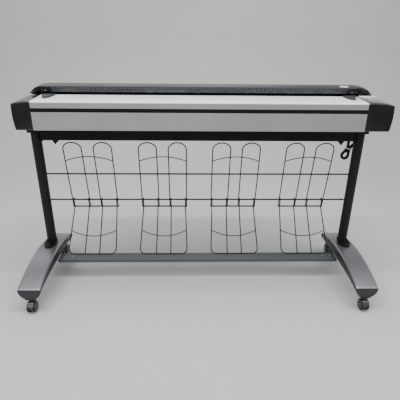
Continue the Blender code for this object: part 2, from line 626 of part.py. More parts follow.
def make_inside(paint):
    deck = boxes_mesh("deck", [((-0.740, TABLE_BACK + 0.002, 0.9948), (0.740, 0.3135, 0.9978))])
    glass_y = (ROLLER_Y[0] + 0.026, ROLLER_Y[1] - 0.026)
    cuts = [boxes_mesh("cut", [((-0.705, y - 0.0115, 0.98), (0.705, y + 0.0115, 1.01))]) for y in ROLLER_Y]
    cuts.append(boxes_mesh("cut", [((-0.700, glass_y[0], 0.98), (0.700, glass_y[1], 1.01))]))
    add("base_deck", combined_mesh("base_deck", deck, cuts, "DIFFERENCE"), paint["lid_grey"])
    glass = [((-0.6997, glass_y[0] + GAP, 0.9945), (0.6997, glass_y[1] - GAP, 0.9992))]
    add("scan_glass", boxes_mesh("scan_glass", glass), paint["glass"])
    bar = boxes_mesh("bar", [((-0.695, 0.145, 0.950), (0.695, 0.163, 0.964))])
    modules = []
    for i in range(5):
        x, y = 0.272 * (i - 2), 0.154 + (0.014 if i % 2 else -0.014)
        modules.append(boxes_mesh("module", [((x - 0.150, y - 0.0133, 0.960),
                                              (x + 0.150, y + 0.0133, 0.9935))]))
    add("sensor_bar", combined_mesh("sensor_bar", bar, modules), paint["cap_black"])
    floor = BODY_BOTTOM + WALL + GAP
    board = boxes_mesh("board", [((0.300, -0.100, floor + 0.008), (0.620, 0.080, floor + 0.0096))])
    chips = [((0.340, -0.060), (0.380, -0.020), 0.016), ((0.460, -0.020), (0.500, 0.040), 0.014),
             ((0.560, 0.030), (0.600, 0.072), 0.020)]
    parts = [boxes_mesh("chip", [((*low, floor + 0.009), (*high, floor + top))]) for low, high, top in chips]
    for x in (0.310, 0.610):
        for y in (-0.090, 0.070):
            parts.append(boxes_mesh("spacer", [((x - 0.004, y - 0.004, floor),
                                                (x + 0.004, y + 0.004, floor + 0.009))]))
    add("main_board", combined_mesh("main_board", board, parts), paint["board_green"])
    supply = [((0.020, -0.095, floor), (0.230, 0.015, floor + 0.045))]
    add("power_supply", boxes_mesh("power_supply", supply, 0.002), paint["steel"])


# ---- Drive --------------------------------------------------------------------------------
def roller_profile(radius, sleeve, shaft, ends, sleeves=6, half=0.695):
    """Half section of a roller: rubber sleeves on a core, with a thin shaft at each end."""
    left, right = ends
    profile = [(left, shaft), (-half - 0.012, shaft)]
    pitch = 2 * half / sleeves
    for i in range(sleeves):
        start = -half + i * pitch
        end = start + sleeve
        profile += [(start, shaft + 0.001), (start, radius), (end, radius), (end, shaft + 0.001)]
    return [*profile, (half + 0.012, shaft), (right, shaft)]


def make_drive(paint):
    pulley_start = PULLEY_X[0] - 0.004
    pulley = [(pulley_start, SHAFT_RADIUS), (pulley_start, PULLEY_RADIUS), (PULLEY_X[1], PULLEY_RADIUS),
              (PULLEY_X[1], SHAFT_RADIUS)]
    plain = roller_profile(ROLLER_RADIUS, 0.20, SHAFT_RADIUS, (PULLEY_X[1], 0.7455))
    for name, y in zip(("front_drive_roller", "rear_drive_roller"), ROLLER_Y):
        roller = turned_mesh(name, pulley + plain, "X", (0, 0, 0), 12)
        add(name, roller, paint["rubber"], (0, y, ROLLER_Z), smooth=40)
    y, z = MOTOR
    can = [(-0.7405, 0.018), (-0.700, 0.018), (-0.699, 0.015), (-0.690, 0.015)]
    motor = turned_mesh("drive_motor", can, "X", (0, y, z), 16)
    add("drive_motor", motor, paint["steel"], smooth=40)
    wheel = [(pulley_start, MOTOR_PULLEY_RADIUS), (PULLEY_X[1], MOTOR_PULLEY_RADIUS),
             (PULLEY_X[1], 0.003), (-0.7410, 0.003)]
    turned = turned_mesh("motor_pulley", wheel, "X", (0, 0, 0), 14)
    add("motor_pulley", turned, paint["steel"], (0, y, z), smooth=40)
    add("drive_belt", belt_mesh(), paint["rubber"])


def hull_outline(points):
    """The convex outline around the points, counterclockwise."""
    def half(ordered):
        line = []
        for p in ordered:
            while len(line) > 1 and ((line[-1][0] - line[-2][0]) * (p[1] - line[-2][1])
                                     - (line[-1][1] - line[-2][1]) * (p[0] - line[-2][0])) <= 1e-12:
                line.pop()
            line.append(p)
        return line[:-1]

    ordered = sorted(set(points))
    return half(ordered) + half(ordered[::-1])


def belt_mesh():
    """A flat belt drawn tight round both roller pulleys and the motor's."""
    def around(clear):
        points = []
        wheels = [((y, ROLLER_Z), PULLEY_RADIUS) for y in ROLLER_Y] + [(MOTOR, MOTOR_PULLEY_RADIUS)]
        for centre, radius in wheels:
            points += arc(centre, radius + clear, 0, 360, 20)[:-1]
        return hull_outline(points)

    low, high = PULLEY_X[0] - 0.003, PULLEY_X[1] - 0.001
    outer = prism_mesh("outer", around(GAP + 0.0003 + BELT_THICKNESS), "X", low, high)
    inner = prism_mesh("inner", around(GAP + 0.0003), "X", low - 0.01, high + 0.01)
    return combined_mesh("drive_belt", outer, [inner], "DIFFERENCE")


# ---- Lid ----------------------------------------------------------------------------------
def lid_section(x):
    """The lid's outer line at one place along its length, front to back."""
    low, high = LID_END_X
    beyond = max(0.0, x - (high - LID_ROUND), (low + LID_ROUND) - x) / LID_ROUND
    rise = 1 - min(beyond, 1.0) ** 2.2
    back = LID_SWEEP * (1 - rise)
    lip = LID_LIP if abs(x) < BODY_X - 0.001 else LID_BASE
    section = []
    for y, z in ((LID_FRONT_Y, lip), *LID_LINE):
        level = LID_BASE + (z - LID_BASE) * max(rise, 0.12)
        section.append((y + back * (1 - (y - LID_FRONT_Y) / (LID_LINE[-1][0] - LID_FRONT_Y)), level))
    return section


def make_lid(paint):
    low, high = LID_END_X
    rounding = [LID_ROUND * (1 - math.cos(math.radians(a))) for a in (0, 18, 36, 54, 72, 90)]
    inner = BODY_X - 0.0005
    places = [low + r for r in rounding] + [-inner - 0.001, -inner + 0.001, -0.37, 0.0, 0.37, inner - 0.001,
                                            inner + 0.001] + [high - r for r in reversed(rounding)]
    shape = bmesh.new()
    rows = [[shape.verts.new((x, y, z)) for y, z in lid_section(x)] for x in sorted(places)]
    for near, far in zip(rows, rows[1:]):
        for j in range(len(near) - 1):
            shape.faces.new((near[j], far[j], far[j + 1], near[j + 1]))
    bmesh.ops.recalc_face_normals(shape, faces=shape.faces)
    if sum(face.normal.z for face in shape.faces) < 0:
        bmesh.ops.reverse_faces(shape, faces=shape.faces)
    mesh = bpy.data.meshes.new("lid_shell")
    shape.to_mesh(mesh)
    shape.free()
    lid = add("lid_shell", mesh, paint["lid_grey"], smooth=35)
    skin = lid.modifiers.new("Solidify", "SOLIDIFY")
    skin.thickness = 0.0018
    skin.offset = -1

    guide = [(LID_FRONT_Y + 0.0030, 1.0100), (LID_FRONT_Y + 0.0030, LID_LIP - 0.0020),
             (LID_FRONT_Y + 0.0100, LID_LIP + 0.0005),
             (LID_FRONT_Y + 0.020, PAPER_Z + LID_GAP)]
    add("lid_guide", prism_mesh("lid_guide", guide, "X", -0.744, 0.744), paint["cap_black"])
    floor = PAPER_Z + LID_GAP
    plate = boxes_mesh("plate", [((-0.715, 0.090, floor), (0.715, 0.218, floor + 0.005))])
    cheeks = [boxes_mesh("cheek", [((x - 0.004, 0.060, floor), (x + 0.004, 0.248, 1.0165))])
              for x in (-0.711, 0.711)]
    bores = [turned_mesh("bore", [(-0.73, 0.0034), (0.73, 0.0034)], "X", (0, y, PRESS_Z), 12)
             for y in ROLLER_Y]
    carrier = combined_mesh("carrier", combined_mesh("solid", plate, cheeks), bores, "DIFFERENCE")
    add("pressure_plate", carrier, paint["plain_white"])
    for name, y in zip(("front_pressure_roller", "rear_pressure_roller"), ROLLER_Y):
        profile = roller_profile(PRESS_RADIUS, 0.20, 0.003, (-0.7145, 0.7145), half=0.690)
        add(name, turned_mesh(name, profile, "X", (0, 0, 0), 12), paint["rubber"], (0, y, PRESS_Z), smooth=40)


# ---- Socket and data lead -----------------------------------------------------------------
def make_lead(paint):
    socket = boxes_mesh("socket", [((0.775, 0.205, 0.840), (0.840, 0.285, BODY_BOTTOM - GAP))], 0.002)
    gland = turned_mesh("gland", [(0.8368, 0.0055), (0.845, 0.0062)], "Z", (*LEAD_ROUTE[0][:2], 0), 12)
    add("socket_box", combined_mesh("socket_box", socket, [gland]), paint["cap_black"])
    lead = tube_curve("data_lead", smooth_route(LEAD_ROUTE, 5), LEAD_RADIUS, 2)
    add_curve("data_lead", lead, paint["cord_black"])

    half, waist, fold = HANK_WIDTH / 2, HANK_WAIST / 2, HANK_LENGTH / 2 - HANK_WIDTH / 2
    inner = HANK_HOLE / 2

    def flank(wide, narrow, z):
        return narrow + (wide - narrow) * (1 - math.cos(math.pi * z / fold)) / 2

    outline = arc((0, fold), half, 0, 180, 12)
    outline += [(-flank(half, waist, z), z) for z in (fold * t / 5 for t in range(4, -5, -1))]
    outline += arc((0, -fold), half, 180, 360, 12)
    outline += [(flank(half, waist, z), z) for z in (fold * t / 5 for t in range(-4, 5))]
    solid = prism_mesh("solid", outline, "Y", -HANK_DEPTH / 2, HANK_DEPTH / 2)
    eye = arc((0, fold), inner, 0, 180, 8)
    eye += [(-flank(inner, 0.0001, z), z) for z in (fold * t / 5 for t in (4, 3, 2))]
    eye += [(flank(inner, 0.0001, z), z) for z in (fold * t / 5 for t in (2, 3, 4))]
    through = [prism_mesh("through", [(x, way * z) for x, z in eye], "Y", -HANK_DEPTH, HANK_DEPTH)
               for way in (-1, 1)]
    hank = combined_mesh("data_lead_hank", solid, through, "DIFFERENCE")
    lean = Matrix.Rotation(HANK_LEAN, 4, "Y")
    hank.transform(lean)
    add("data_lead_hank", hank, paint["cord_black"], HANK_CENTRE, smooth=40)
    clear = GAP + 0.0002
    band = boxes_mesh("band", [((-waist - 0.0022, -HANK_DEPTH / 2 - 0.0018, -0.003),
                                (waist + 0.0022, HANK_DEPTH / 2 + 0.0018, 0.003))])
    bore = boxes_mesh("bore", [((-waist - clear, -HANK_DEPTH / 2 - clear, -0.01),
                                (waist + clear, HANK_DEPTH / 2 + clear, 0.01))])
    tie = combined_mesh("lead_tie", band, [bore], "DIFFERENCE")
    tie.transform(lean)
    add("lead_tie", tie, paint["tie_white"], HANK_CENTRE)
    grip = boxes_mesh("grip", [((-0.008, 0, -0.017), (0.008, 0.008, 0.010))], 0.0012)
    nose = boxes_mesh("nose", [((-0.006, 0.0018, -0.029), (0.006, 0.0062, -0.015))])
    plug = combined_mesh("plug", grip, [nose])
    plug.transform(lean)
    x, y, z = HANK_CENTRE
    add("lead_connector", plug, paint["cap_black"], (x + 0.006, y + HANK_DEPTH / 2 + 0.0025, z + 0.002))


def smooth_route(points, per_span):
    """Points along a smooth curve through the route's points."""
    places = [Vector(p) for p in points]
    places = [places[0] * 2 - places[1], *places, places[-1] * 2 - places[-2]]
    found = []
    for a, b, c, d in zip(places, places[1:], places[2:], places[3:]):
        for i in range(per_span):
            t = i / per_span
            found.append(0.5 * (2 * b + (c - a) * t + (2 * a - 5 * b + 4 * c - d) * t**2
                                + (3 * b - a - 3 * c + d) * t**3))
    return [*found, places[-2]]


def add_curve(name, curve, paint):
    made = bpy.data.objects.new(name, curve)
    bpy.context.scene.collection.objects.link(made)
    curve.materials.append(paint)


def main():
    for obj in list(bpy.data.objects):
        bpy.data.objects.remove(obj)
    paint = make_materials()
    make_stand(paint)
    make_racks(paint)
    make_casters(paint)
    make_body(paint)
    make_end_caps(paint)
    make_control_panel(paint)
    make_inside(paint)
    make_drive(paint)
    make_lid(paint)
    make_lead(paint)


main()
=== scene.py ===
"""The looks of the wide-format sheet scanner: finishes, fine shapes, data lead, camera and light."""
import math

import bmesh
import bpy
from mathutils import Matrix, Vector


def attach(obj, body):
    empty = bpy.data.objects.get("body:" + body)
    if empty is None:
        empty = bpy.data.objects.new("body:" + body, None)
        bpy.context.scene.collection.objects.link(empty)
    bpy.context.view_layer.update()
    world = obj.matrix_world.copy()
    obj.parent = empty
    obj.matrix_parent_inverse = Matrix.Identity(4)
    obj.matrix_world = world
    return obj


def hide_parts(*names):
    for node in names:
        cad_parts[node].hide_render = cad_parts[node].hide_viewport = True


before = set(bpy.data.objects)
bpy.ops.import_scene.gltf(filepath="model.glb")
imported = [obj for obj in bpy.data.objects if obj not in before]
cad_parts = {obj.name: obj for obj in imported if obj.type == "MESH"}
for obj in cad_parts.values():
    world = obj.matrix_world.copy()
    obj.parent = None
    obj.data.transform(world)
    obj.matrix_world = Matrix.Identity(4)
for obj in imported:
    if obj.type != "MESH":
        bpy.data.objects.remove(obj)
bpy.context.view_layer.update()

# ---- Places and sizes that repeat the CAD model, in metres ---------------------------------
GAP = 0.0003  # between pieces that rest on each other
LEG_X, LEG_Y, LEG_RADIUS = 0.824, 0.08, 0.025
FOOT_WIDTH, FOOT_HALF, FOOT_Y = 0.11, 0.288, -0.024
FOOT_END_TOP, FOOT_CREST, FOOT_BOTTOM = 0.131, 0.18, 0.073
FLANGE, FLANGE_AHEAD, RING_RADIUS = (0.033, 0.055), 0.025, 0.029
BODY_X, FRONT_Y, BACK_Y, BODY_BOTTOM = 0.7465, -0.14, 0.33, 0.868
LEFT_END, RIGHT_END = -0.8305, 0.8665
CAP_OUT, CAP_IN, CAP_SLANT, CAP_TURN = 0.986, 0.9965, 0.004, 0.005
FRONT_TOP, PAPER_Z, TABLE_BACK = 0.9965, 1.0, 0.016
UPPER_ROD, MIDDLE_ROD, ROD_RADIUS, WIRE = (0.063, 0.59), (0.092, 0.432), 0.004, 0.0029
RACK_PITCH, RACK_OUTER, RACK_INNER, RACK_TOP, RACK_BAR = 0.3743, 0.1205, 0.0297, 0.769, 0.391
RACK_FLARE, RACK_LOW_END = 0.0062, (-0.09, 0.197)
LID_ENDS, LID_ROUND, LID_SWEEP = (-0.82, 0.846), 0.08, 0.045
LID_FRONT, LID_BACK, LID_BASE, LID_LIP = 0.03, 0.3255, 0.9972, 1.0335
COMB_HALF = 0.7  # half length of the ribbed strip in the lid
ROLLER_Y = {"front": 0.072, "rear": 0.236}
PRESS_RADIUS, DRIVE_RADIUS = 0.007, 0.009
KEYS = (("power_key", "power_button", 0.774, -0.004, 0.0075),
        ("copy_key", "copy_button", 0.803, 0.0, 0.0065))  # node, body, place and radius of each
KEY_PLAY = 0.0004  # round each key in its hole
HANK_CENTRE, HANK_LEAN = Vector((0.795, 0.128, 0.712)), math.radians(20)
HANK_LENGTH, HANK_WIDTH, HANK_DEPTH = 0.126, 0.045, 0.013
LEAD_RADIUS = 0.002
LEAD_ROUTE = [(0.805, 0.245, 0.8365), (0.805, 0.245, 0.82), (0.807, 0.236, 0.8), (0.811, 0.214, 0.787),
              (0.816, 0.186, 0.786), (0.8185, 0.16, 0.7885), (0.8185, 0.14, 0.7862),
              (0.8175, 0.1236, 0.7765)]
CASTER_TRAIL, CASTER_INSET, WHEEL_RADIUS, HOOD_RADIUS = 0.0215, 0.032, 0.028, 0.0314


# ---- Camera, floor and light ---------------------------------------------------------------
def placed(name, data):
    made = bpy.data.objects.new(name, data)
    bpy.context.scene.collection.objects.link(made)
    return made


def make_camera():
    """A normal lens at a standing person's eye height, a little left of the middle."""
    pitch, yaw, roll = math.radians(23.63), math.radians(1.62), math.radians(0.66)
    ahead = Vector((math.sin(yaw) * math.cos(pitch), math.cos(yaw) * math.cos(pitch), -math.sin(pitch)))
    level = Vector((math.cos(yaw), -math.sin(yaw), 0))
    upright = level.cross(ahead)
    right = level * math.cos(roll) + upright * math.sin(roll)
    up = upright * math.cos(roll) - level * math.sin(roll)
    data = bpy.data.cameras.new("camera")
    data.lens, data.sensor_width, data.clip_end = 36.0, 36.0, 100.0
    camera = placed("camera", data)
    turn = Matrix((right, up, -ahead)).transposed()
    camera.matrix_world = Matrix.Translation((-0.05, -1.916, 1.307)) @ turn.to_4x4()
    bpy.context.scene.camera = camera


def area_light(name, place, target, size, power):
    data = bpy.data.lights.new(name, "AREA")
    data.shape, data.size, data.size_y = "RECTANGLE", size[0], size[1]
    data.energy = power
    light = placed(name, data)
    light.location = place
    light.rotation_euler = (Vector(target) - Vector(place)).to_track_quat("-Z", "Y").to_euler()


def make_stage():
    """A pale floor that sweeps up behind the object, under broad soft lamps."""
    shape = bmesh.new()
    line = [(-6.0, 0.0), *arc((1.6, 1.2), 1.2, -90, 0, 9), (2.8, 4.5)]
    loft(shape, [[(x, y, z - 0.0002) for y, z in line] for x in (7.0, -7.0)], closed_ring=False, caps=False)
    mesh = mesh_of(shape, "floor", False)
    mesh.shade_smooth()
    floor = placed("floor", mesh)
    mesh.materials.append(finish("floor_pale", (0.62, 0.61, 0.6), 0.8, grain=40, tone=0.02, bump=0.02))
    world = bpy.data.worlds.new("studio")
    world.use_nodes = True
    world.node_tree.nodes["Background"].inputs["Color"].default_value = (0.9, 0.92, 0.95, 1)
    world.node_tree.nodes["Background"].inputs["Strength"].default_value = 0.5
    bpy.context.scene.world = world
    area_light("overhead", (0.0, -0.3, 3.2), (0, 0.1, 0.8), (4.0, 2.0), 76)
    area_light("ceiling_tube", (0.0, -0.6, 3.2), (0, -0.1, 0.9), (4.4, 0.16), 38)
    area_light("front_fill", (-1.4, -3.2, 2.4), (0, 0, 0.7), (2.6, 1.6), 40)
    area_light("right_fill", (2.8, -1.2, 1.9), (0.2, 0, 0.6), (1.6, 1.6), 14)
    area_light("back_rim", (-0.8, 2.35, 2.15), (-0.3, 0.1, 1.0), (4.0, 0.7), 14)


# ---- Materials -----------------------------------------------------------------------------
def add_node(tree, kind, **values):
    """A shader node with its inputs set. An underscore stands for a space in an input's name."""
    made = tree.nodes.new(kind)
    for name, value in values.items():
        made.inputs[name.replace("_", " ")].default_value = value
    return made


def tint(colour, factor, lift=0.0):
    return (*[min(1.0, c * factor + lift) for c in colour], 1)


def finish(name, colour, rough, metal=0.0, grain=300.0, tone=0.06, bump=0.03, stretch=(1, 1, 1), coat=0.0,
           wear=0.0, shine=0.5):
    """A procedural finish: fine grain in colour, gloss and relief, broad soft patches, and a painted
    highlight that lightens convex edges.
    """
    made = bpy.data.materials.new(name)
    made.use_nodes = True
    tree = made.node_tree
    link = tree.links.new
    shader = tree.nodes["Principled BSDF"]
    shader.inputs["Metallic"].default_value = metal
    shader.inputs["Specular IOR Level"].default_value = shine
    if coat:
        shader.inputs["Coat Weight"].default_value = coat
        shader.inputs["Coat Roughness"].default_value = 0.08
    place = add_node(tree, "ShaderNodeTexCoord")
    scale = add_node(tree, "ShaderNodeMapping", Scale=stretch)
    link(place.outputs["Object"], scale.inputs["Vector"])
    fine = add_node(tree, "ShaderNodeTexNoise", Scale=grain, Detail=4.0)
    link(scale.outputs["Vector"], fine.inputs["Vector"])
    broad = add_node(tree, "ShaderNodeTexNoise", Scale=5.0, Detail=3.0)
    link(place.outputs["Object"], broad.inputs["Vector"])
    both = add_node(tree, "ShaderNodeMath")
    both.operation = "ADD"
    link(fine.outputs["Fac"], both.inputs[0])
    link(broad.outputs["Fac"], both.inputs[1])
    shade = add_node(tree, "ShaderNodeMapRange", From_Min=0.6, From_Max=1.4)
    link(both.outputs[0], shade.inputs["Value"])
    ramp = add_node(tree, "ShaderNodeValToRGB")
    ramp.color_ramp.elements[0].color = tint(colour, 1 - tone * 1.6)
    ramp.color_ramp.elements[1].color = tint(colour, 1 + tone * 1.6)
    link(shade.outputs["Result"], ramp.inputs["Fac"])
    base = ramp.outputs["Color"]
    # Painted highlight: convex edges, found by pointiness, are mixed towards a lighter colour.
    if wear:
        edge = add_node(tree, "ShaderNodeNewGeometry")
        keep = add_node(tree, "ShaderNodeMapRange", From_Min=0.52, From_Max=0.62)
        link(edge.outputs["Pointiness"], keep.inputs["Value"])
        level = add_node(tree, "ShaderNodeMath")
        level.operation = "MULTIPLY"
        level.inputs[1].default_value = wear
        link(keep.outputs["Result"], level.inputs[0])
        edge_lit = add_node(tree, "ShaderNodeMix")
        edge_lit.data_type = "RGBA"
        edge_lit.inputs["B"].default_value = tint(colour, 1.6, 0.05)
        link(level.outputs[0], edge_lit.inputs["Factor"])
        link(base, edge_lit.inputs["A"])
        base = edge_lit.outputs["Result"]
    link(base, shader.inputs["Base Color"])
    gloss = add_node(tree, "ShaderNodeMapRange", From_Min=0.6, From_Max=1.4, To_Min=max(0.02, rough - 0.06),
                     To_Max=min(1.0, rough + 0.06))
    link(both.outputs[0], gloss.inputs["Value"])
    link(gloss.outputs["Result"], shader.inputs["Roughness"])
    relief = add_node(tree, "ShaderNodeBump", Strength=bump, Distance=0.0004)
    link(fine.outputs["Fac"], relief.inputs["Height"])
    link(relief.outputs["Normal"], shader.inputs["Normal"])
    return made


def make_finishes():
    made = {}

    def add(name, *values, **more):
        made[name] = finish(name + "_finish", *values, **more)

    # Some finishes below paint a lighter colour on convex edges as a painted highlight.
    add("black_steel", (0.0048, 0.0052, 0.0055), 0.38, grain=900, bump=0.25, wear=0.3, shine=0.15)
    add("foot_metal", (0.245, 0.236, 0.258), 0.34, 0.7, grain=1400, tone=0.1, bump=0.1)
    # Feet flanks and underside: the foot metal painted near black as painted shade.
    add("foot_flank_painted_shade", (0.03, 0.031, 0.033), 0.45, 0.2, grain=900, bump=0.1, shine=0.3)
    add("foot_end", (0.042, 0.046, 0.052), 0.45, 0.2, grain=800, bump=0.1, shine=0.3)
    add("crossbar_paint", (0.05, 0.062, 0.07), 0.36, 0.2, grain=700, bump=0.15, wear=0.4)
    add("wire", (0.006, 0.0055, 0.0055), 0.4, grain=500, bump=0.1, wear=0.2, shine=0.2)
    add("caster_body", (0.046, 0.053, 0.056), 0.26, coat=0.3)
    add("caster_clear", (0.05, 0.056, 0.06), 0.24, grain=200, coat=0.4)
    add("caster_tyre", (0.008, 0.008, 0.008), 0.62, grain=500, bump=0.3, tone=0.2)
    add("silver_panel", (0.43, 0.415, 0.41), 0.4, 0.55, grain=220, stretch=(0.02, 1, 3), tone=0.05, bump=0.06)
    add("gloss_strip", (0.005, 0.005, 0.006), 0.12, grain=60, tone=0.2, bump=0.01, shine=0.35)
    add("white_table", (0.93, 0.93, 0.95), 0.28, grain=500, tone=0.015, coat=0.2)
    add("cap_plastic", (0.0034, 0.0044, 0.0043), 0.26, grain=1600, bump=0.1, wear=0.2, coat=0.35, shine=0.3)
    add("panel_plastic", (0.26, 0.265, 0.3), 0.3, 0.3, grain=900, bump=0.05)
    add("key_plastic", (0.72, 0.73, 0.76), 0.28, coat=0.3)
    add("lid_plastic", (0.027, 0.028, 0.032), 0.38, grain=1500, bump=0.15, shine=0.26)
    add("lid_gloss", (0.004, 0.0048, 0.0056), 0.2, grain=900, bump=0.06, shine=0.3)
    add("comb_plastic", (0.105, 0.11, 0.122), 0.42, grain=700, bump=0.15)
    add("latch_plastic", (0.04, 0.044, 0.048), 0.42, grain=1500, bump=0.15, shine=0.25)
    add("bare_steel", (0.52, 0.52, 0.53), 0.3, 1.0, grain=250, stretch=(1, 1, 0.1), bump=0.05)
    add("rubber", (0.018, 0.018, 0.018), 0.72, grain=700, bump=0.2, tone=0.15)
    add("board", (0.015, 0.13, 0.055), 0.4, grain=90, tone=0.35, bump=0.2)
    add("white_plate", (0.8, 0.8, 0.79), 0.45, tone=0.02)
    add("cord", (0.0055, 0.0055, 0.0055), 0.4, grain=600, bump=0.08, shine=0.25)
    add("tie", (0.66, 0.64, 0.58), 0.5, grain=400, bump=0.1)
    add("brush", (0.085, 0.094, 0.108), 0.45, grain=55, tone=0.55, bump=0.4)
    add("badge", (0.62, 0.88, 0.66), 0.35, grain=120, tone=0.05, bump=0.02, coat=0.3)
    add("glass", (0.62, 0.72, 0.7), 0.05, grain=3, tone=0.02, bump=0.002)
    shader = made["glass"].node_tree.nodes["Principled BSDF"]
    shader.inputs["Transmission Weight"].default_value = 0.6
    shader.inputs["IOR"].default_value = 1.5
    return made


# ---- Mesh helpers --------------------------------------------------------------------------
def piece(name, mesh, paint, body="root", stands_for=None, angle=35.0):
    """Links a shape, shades it, gives it its finish and joins it to a CAD body."""
    if isinstance(mesh, bmesh.types.BMesh):
        mesh = mesh_of(mesh, name)
    made = placed(name, mesh)
    mesh.materials.append(PAINT[paint])
    mesh.shade_smooth()
    mesh.set_sharp_from_angle(angle=math.radians(angle))
    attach(made, body)
    if stands_for:
        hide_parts(stands_for)
    return made


def mesh_of(shape, name, recalc=True):
    if recalc:
        bmesh.ops.recalc_face_normals(shape, faces=shape.faces)
    mesh = bpy.data.meshes.new(name)
    shape.to_mesh(mesh)
    shape.free()
    return mesh


def add_box(shape, low, high, bevel=0.0, segments=2):
    """Adds a box, with its edges rounded, to a bmesh."""
    centre = [(a + b) / 2 for a, b in zip(low, high)]
    size = Matrix.Diagonal((*[b - a for a, b in zip(low, high)], 1))
    made = bmesh.ops.create_cube(shape, size=1.0, matrix=Matrix.Translation(centre) @ size)
    if bevel:
        edges = list({e for v in made["verts"] for e in v.link_edges})
        bmesh.ops.bevel(shape, geom=edges, offset=bevel, segments=segments, affect="EDGES", profile=0.5)


def add_turned(shape, profile, centre, along=(1, 0, 0), steps=40):
    """Adds a turned solid. The profile is (distance along the axis, radius)."""
    along = Vector(along)
    out = Vector((0, 0, 1)) if abs(along.z) < 0.9 else Vector((1, 0, 0))
    start = Vector(centre)
    points = [(profile[0][0], 0.0), *profile, (profile[-1][0], 0.0)]
    line = [shape.verts.new(start + along * a + out * r) for a, r in points]
    edges = [shape.edges.new(pair) for pair in zip(line, line[1:])]
    bmesh.ops.spin(shape, geom=line + edges, cent=start, axis=along, angle=math.tau, steps=steps,
                   use_merge=True)
    bmesh.ops.remove_doubles(shape, verts=shape.verts, dist=1e-6)


def loft(shape, rings, closed_ring=True, caps=True):
    """Skins a row of equal rings of points."""
    rows = [[shape.verts.new(p) for p in ring] for ring in rings]
    count = len(rows[0])
    for near, far in zip(rows, rows[1:]):
        for j in range(count if closed_ring else count - 1):
            k = (j + 1) % count
            shape.faces.new((near[j], near[k], far[k], far[j]))
    if caps:
        shape.faces.new(rows[0])
        shape.faces.new(rows[-1])
    return rows


def arc(centre, radius, start, end, steps):
    """Points on an arc; a radius of two numbers makes it part of an ellipse."""
    across, up = radius if isinstance(radius, tuple) else (radius, radius)
    turns = [math.radians(start + (end - start) * i / steps) for i in range(steps + 1)]
    return [(centre[0] + across * math.cos(t), centre[1] + up * math.sin(t)) for t in turns]


def ellipse(middle, wide, long, steps):
    return arc(middle, (wide, long), 0, 360, steps)[:-1]


def smooth_route(points, per_span):
    """Points along a smooth curve through a route's points."""
    places = [Vector(p) for p in points]
    places = [places[0] * 2 - places[1], *places, places[-1] * 2 - places[-2]]
    found = []
    for a, b, c, d in zip(places, places[1:], places[2:], places[3:]):
        for i in range(per_span):
            t = i / per_span
            found.append(0.5 * (2 * b + (c - a) * t + (2 * a - 5 * b + 4 * c - d) * t**2
                                + (3 * b - a - 3 * c + d) * t**3))
    return [*found, places[-2]]


def wire_curve(name, routes, radius, resolution=4):
    """Round wires with closed ends: one curve with a spline for each route."""
    curve = bpy.data.curves.new(name, "CURVE")
    curve.dimensions = "3D"
    curve.bevel_depth, curve.bevel_resolution, curve.use_fill_caps = radius, resolution, True
    for route in routes:
        spline = curve.splines.new("POLY")
        spline.points.add(len(route) - 1)
        for point, place in zip(spline.points, route):
            point.co = (*place, 1.0)
    return curve


def curve_mesh(name, routes, radius, resolution=4):
    """The same wires as a mesh."""
    used = placed(name, wire_curve(name, routes, radius, resolution))
    bpy.context.view_layer.update()
    mesh = bpy.data.meshes.new_from_object(used.evaluated_get(bpy.context.evaluated_depsgraph_get()))
    bpy.data.objects.remove(used)
    return mesh


def cut(target, shape):
    """Cuts a closed shape out of a piece at once."""
    cutter = placed("cutter", mesh_of(shape, "cutter"))
    step = target.modifiers.new("cut", "BOOLEAN")
    step.object, step.operation, step.solver = cutter, "DIFFERENCE", "EXACT"
    bpy.context.view_layer.update()
    made = bpy.data.meshes.new_from_object(target.evaluated_get(bpy.context.evaluated_depsgraph_get()))
    target.modifiers.remove(step)
    target.data = made
    bpy.data.objects.remove(cutter)
    made.shade_smooth()
    made.set_sharp_from_angle(angle=math.radians(40))


def refined(node, paint, body="root", bevel=0.0012, segments=2):
    """The CAD node's own shape with flat faces made whole and its edges rounded."""
    shape = bmesh.new()
    shape.from_mesh(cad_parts[node].data)
    shape.transform(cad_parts[node].matrix_world)
    bmesh.ops.remove_doubles(shape, verts=shape.verts, dist=1e-6)
    bmesh.ops.dissolve_limit(shape, angle_limit=math.radians(1.0), verts=shape.verts, edges=shape.edges)
    sharp = [e for e in shape.edges if e.is_manifold and e.calc_face_angle(0) > math.radians(30)]
    bmesh.ops.bevel(shape, geom=sharp, offset=bevel, segments=segments, affect="EDGES", profile=0.5,
                    clamp_overlap=True)
    made = piece("fine_" + node, shape, paint, body, node, 40)
    normals = made.modifiers.new("WeightedNormal", "WEIGHTED_NORMAL")
    normals.keep_sharp = True


# ---- Stand ---------------------------------------------------------------------------------
def foot_top(y):
    sagitta = FOOT_CREST - FOOT_END_TOP
    radius = (FOOT_HALF**2 + sagitta**2) / (2 * sagitta)
    return FOOT_CREST - radius + math.sqrt(radius**2 - (y - FOOT_Y) ** 2)


def foot_section(y, inset=0.0):
    """A D-shaped section, flat on top with rounded shoulders, as (x, z) points."""
    top, half, turn = foot_top(y) - inset, FOOT_WIDTH / 2 - inset, 0.006
    low = FOOT_BOTTOM + inset
    bowl = arc((0, top - turn), (half, top - turn - low), 180, 360, 40)
    right = arc((half - turn, top - turn), turn, 0, 90, 6)[1:]
    left = [(-x, z) for x, z in reversed(right)]
    flat = [(half - turn - (2 * half - 2 * turn) * i / 8, top) for i in range(1, 8)]
    return [*bowl, *right, *flat, *left]


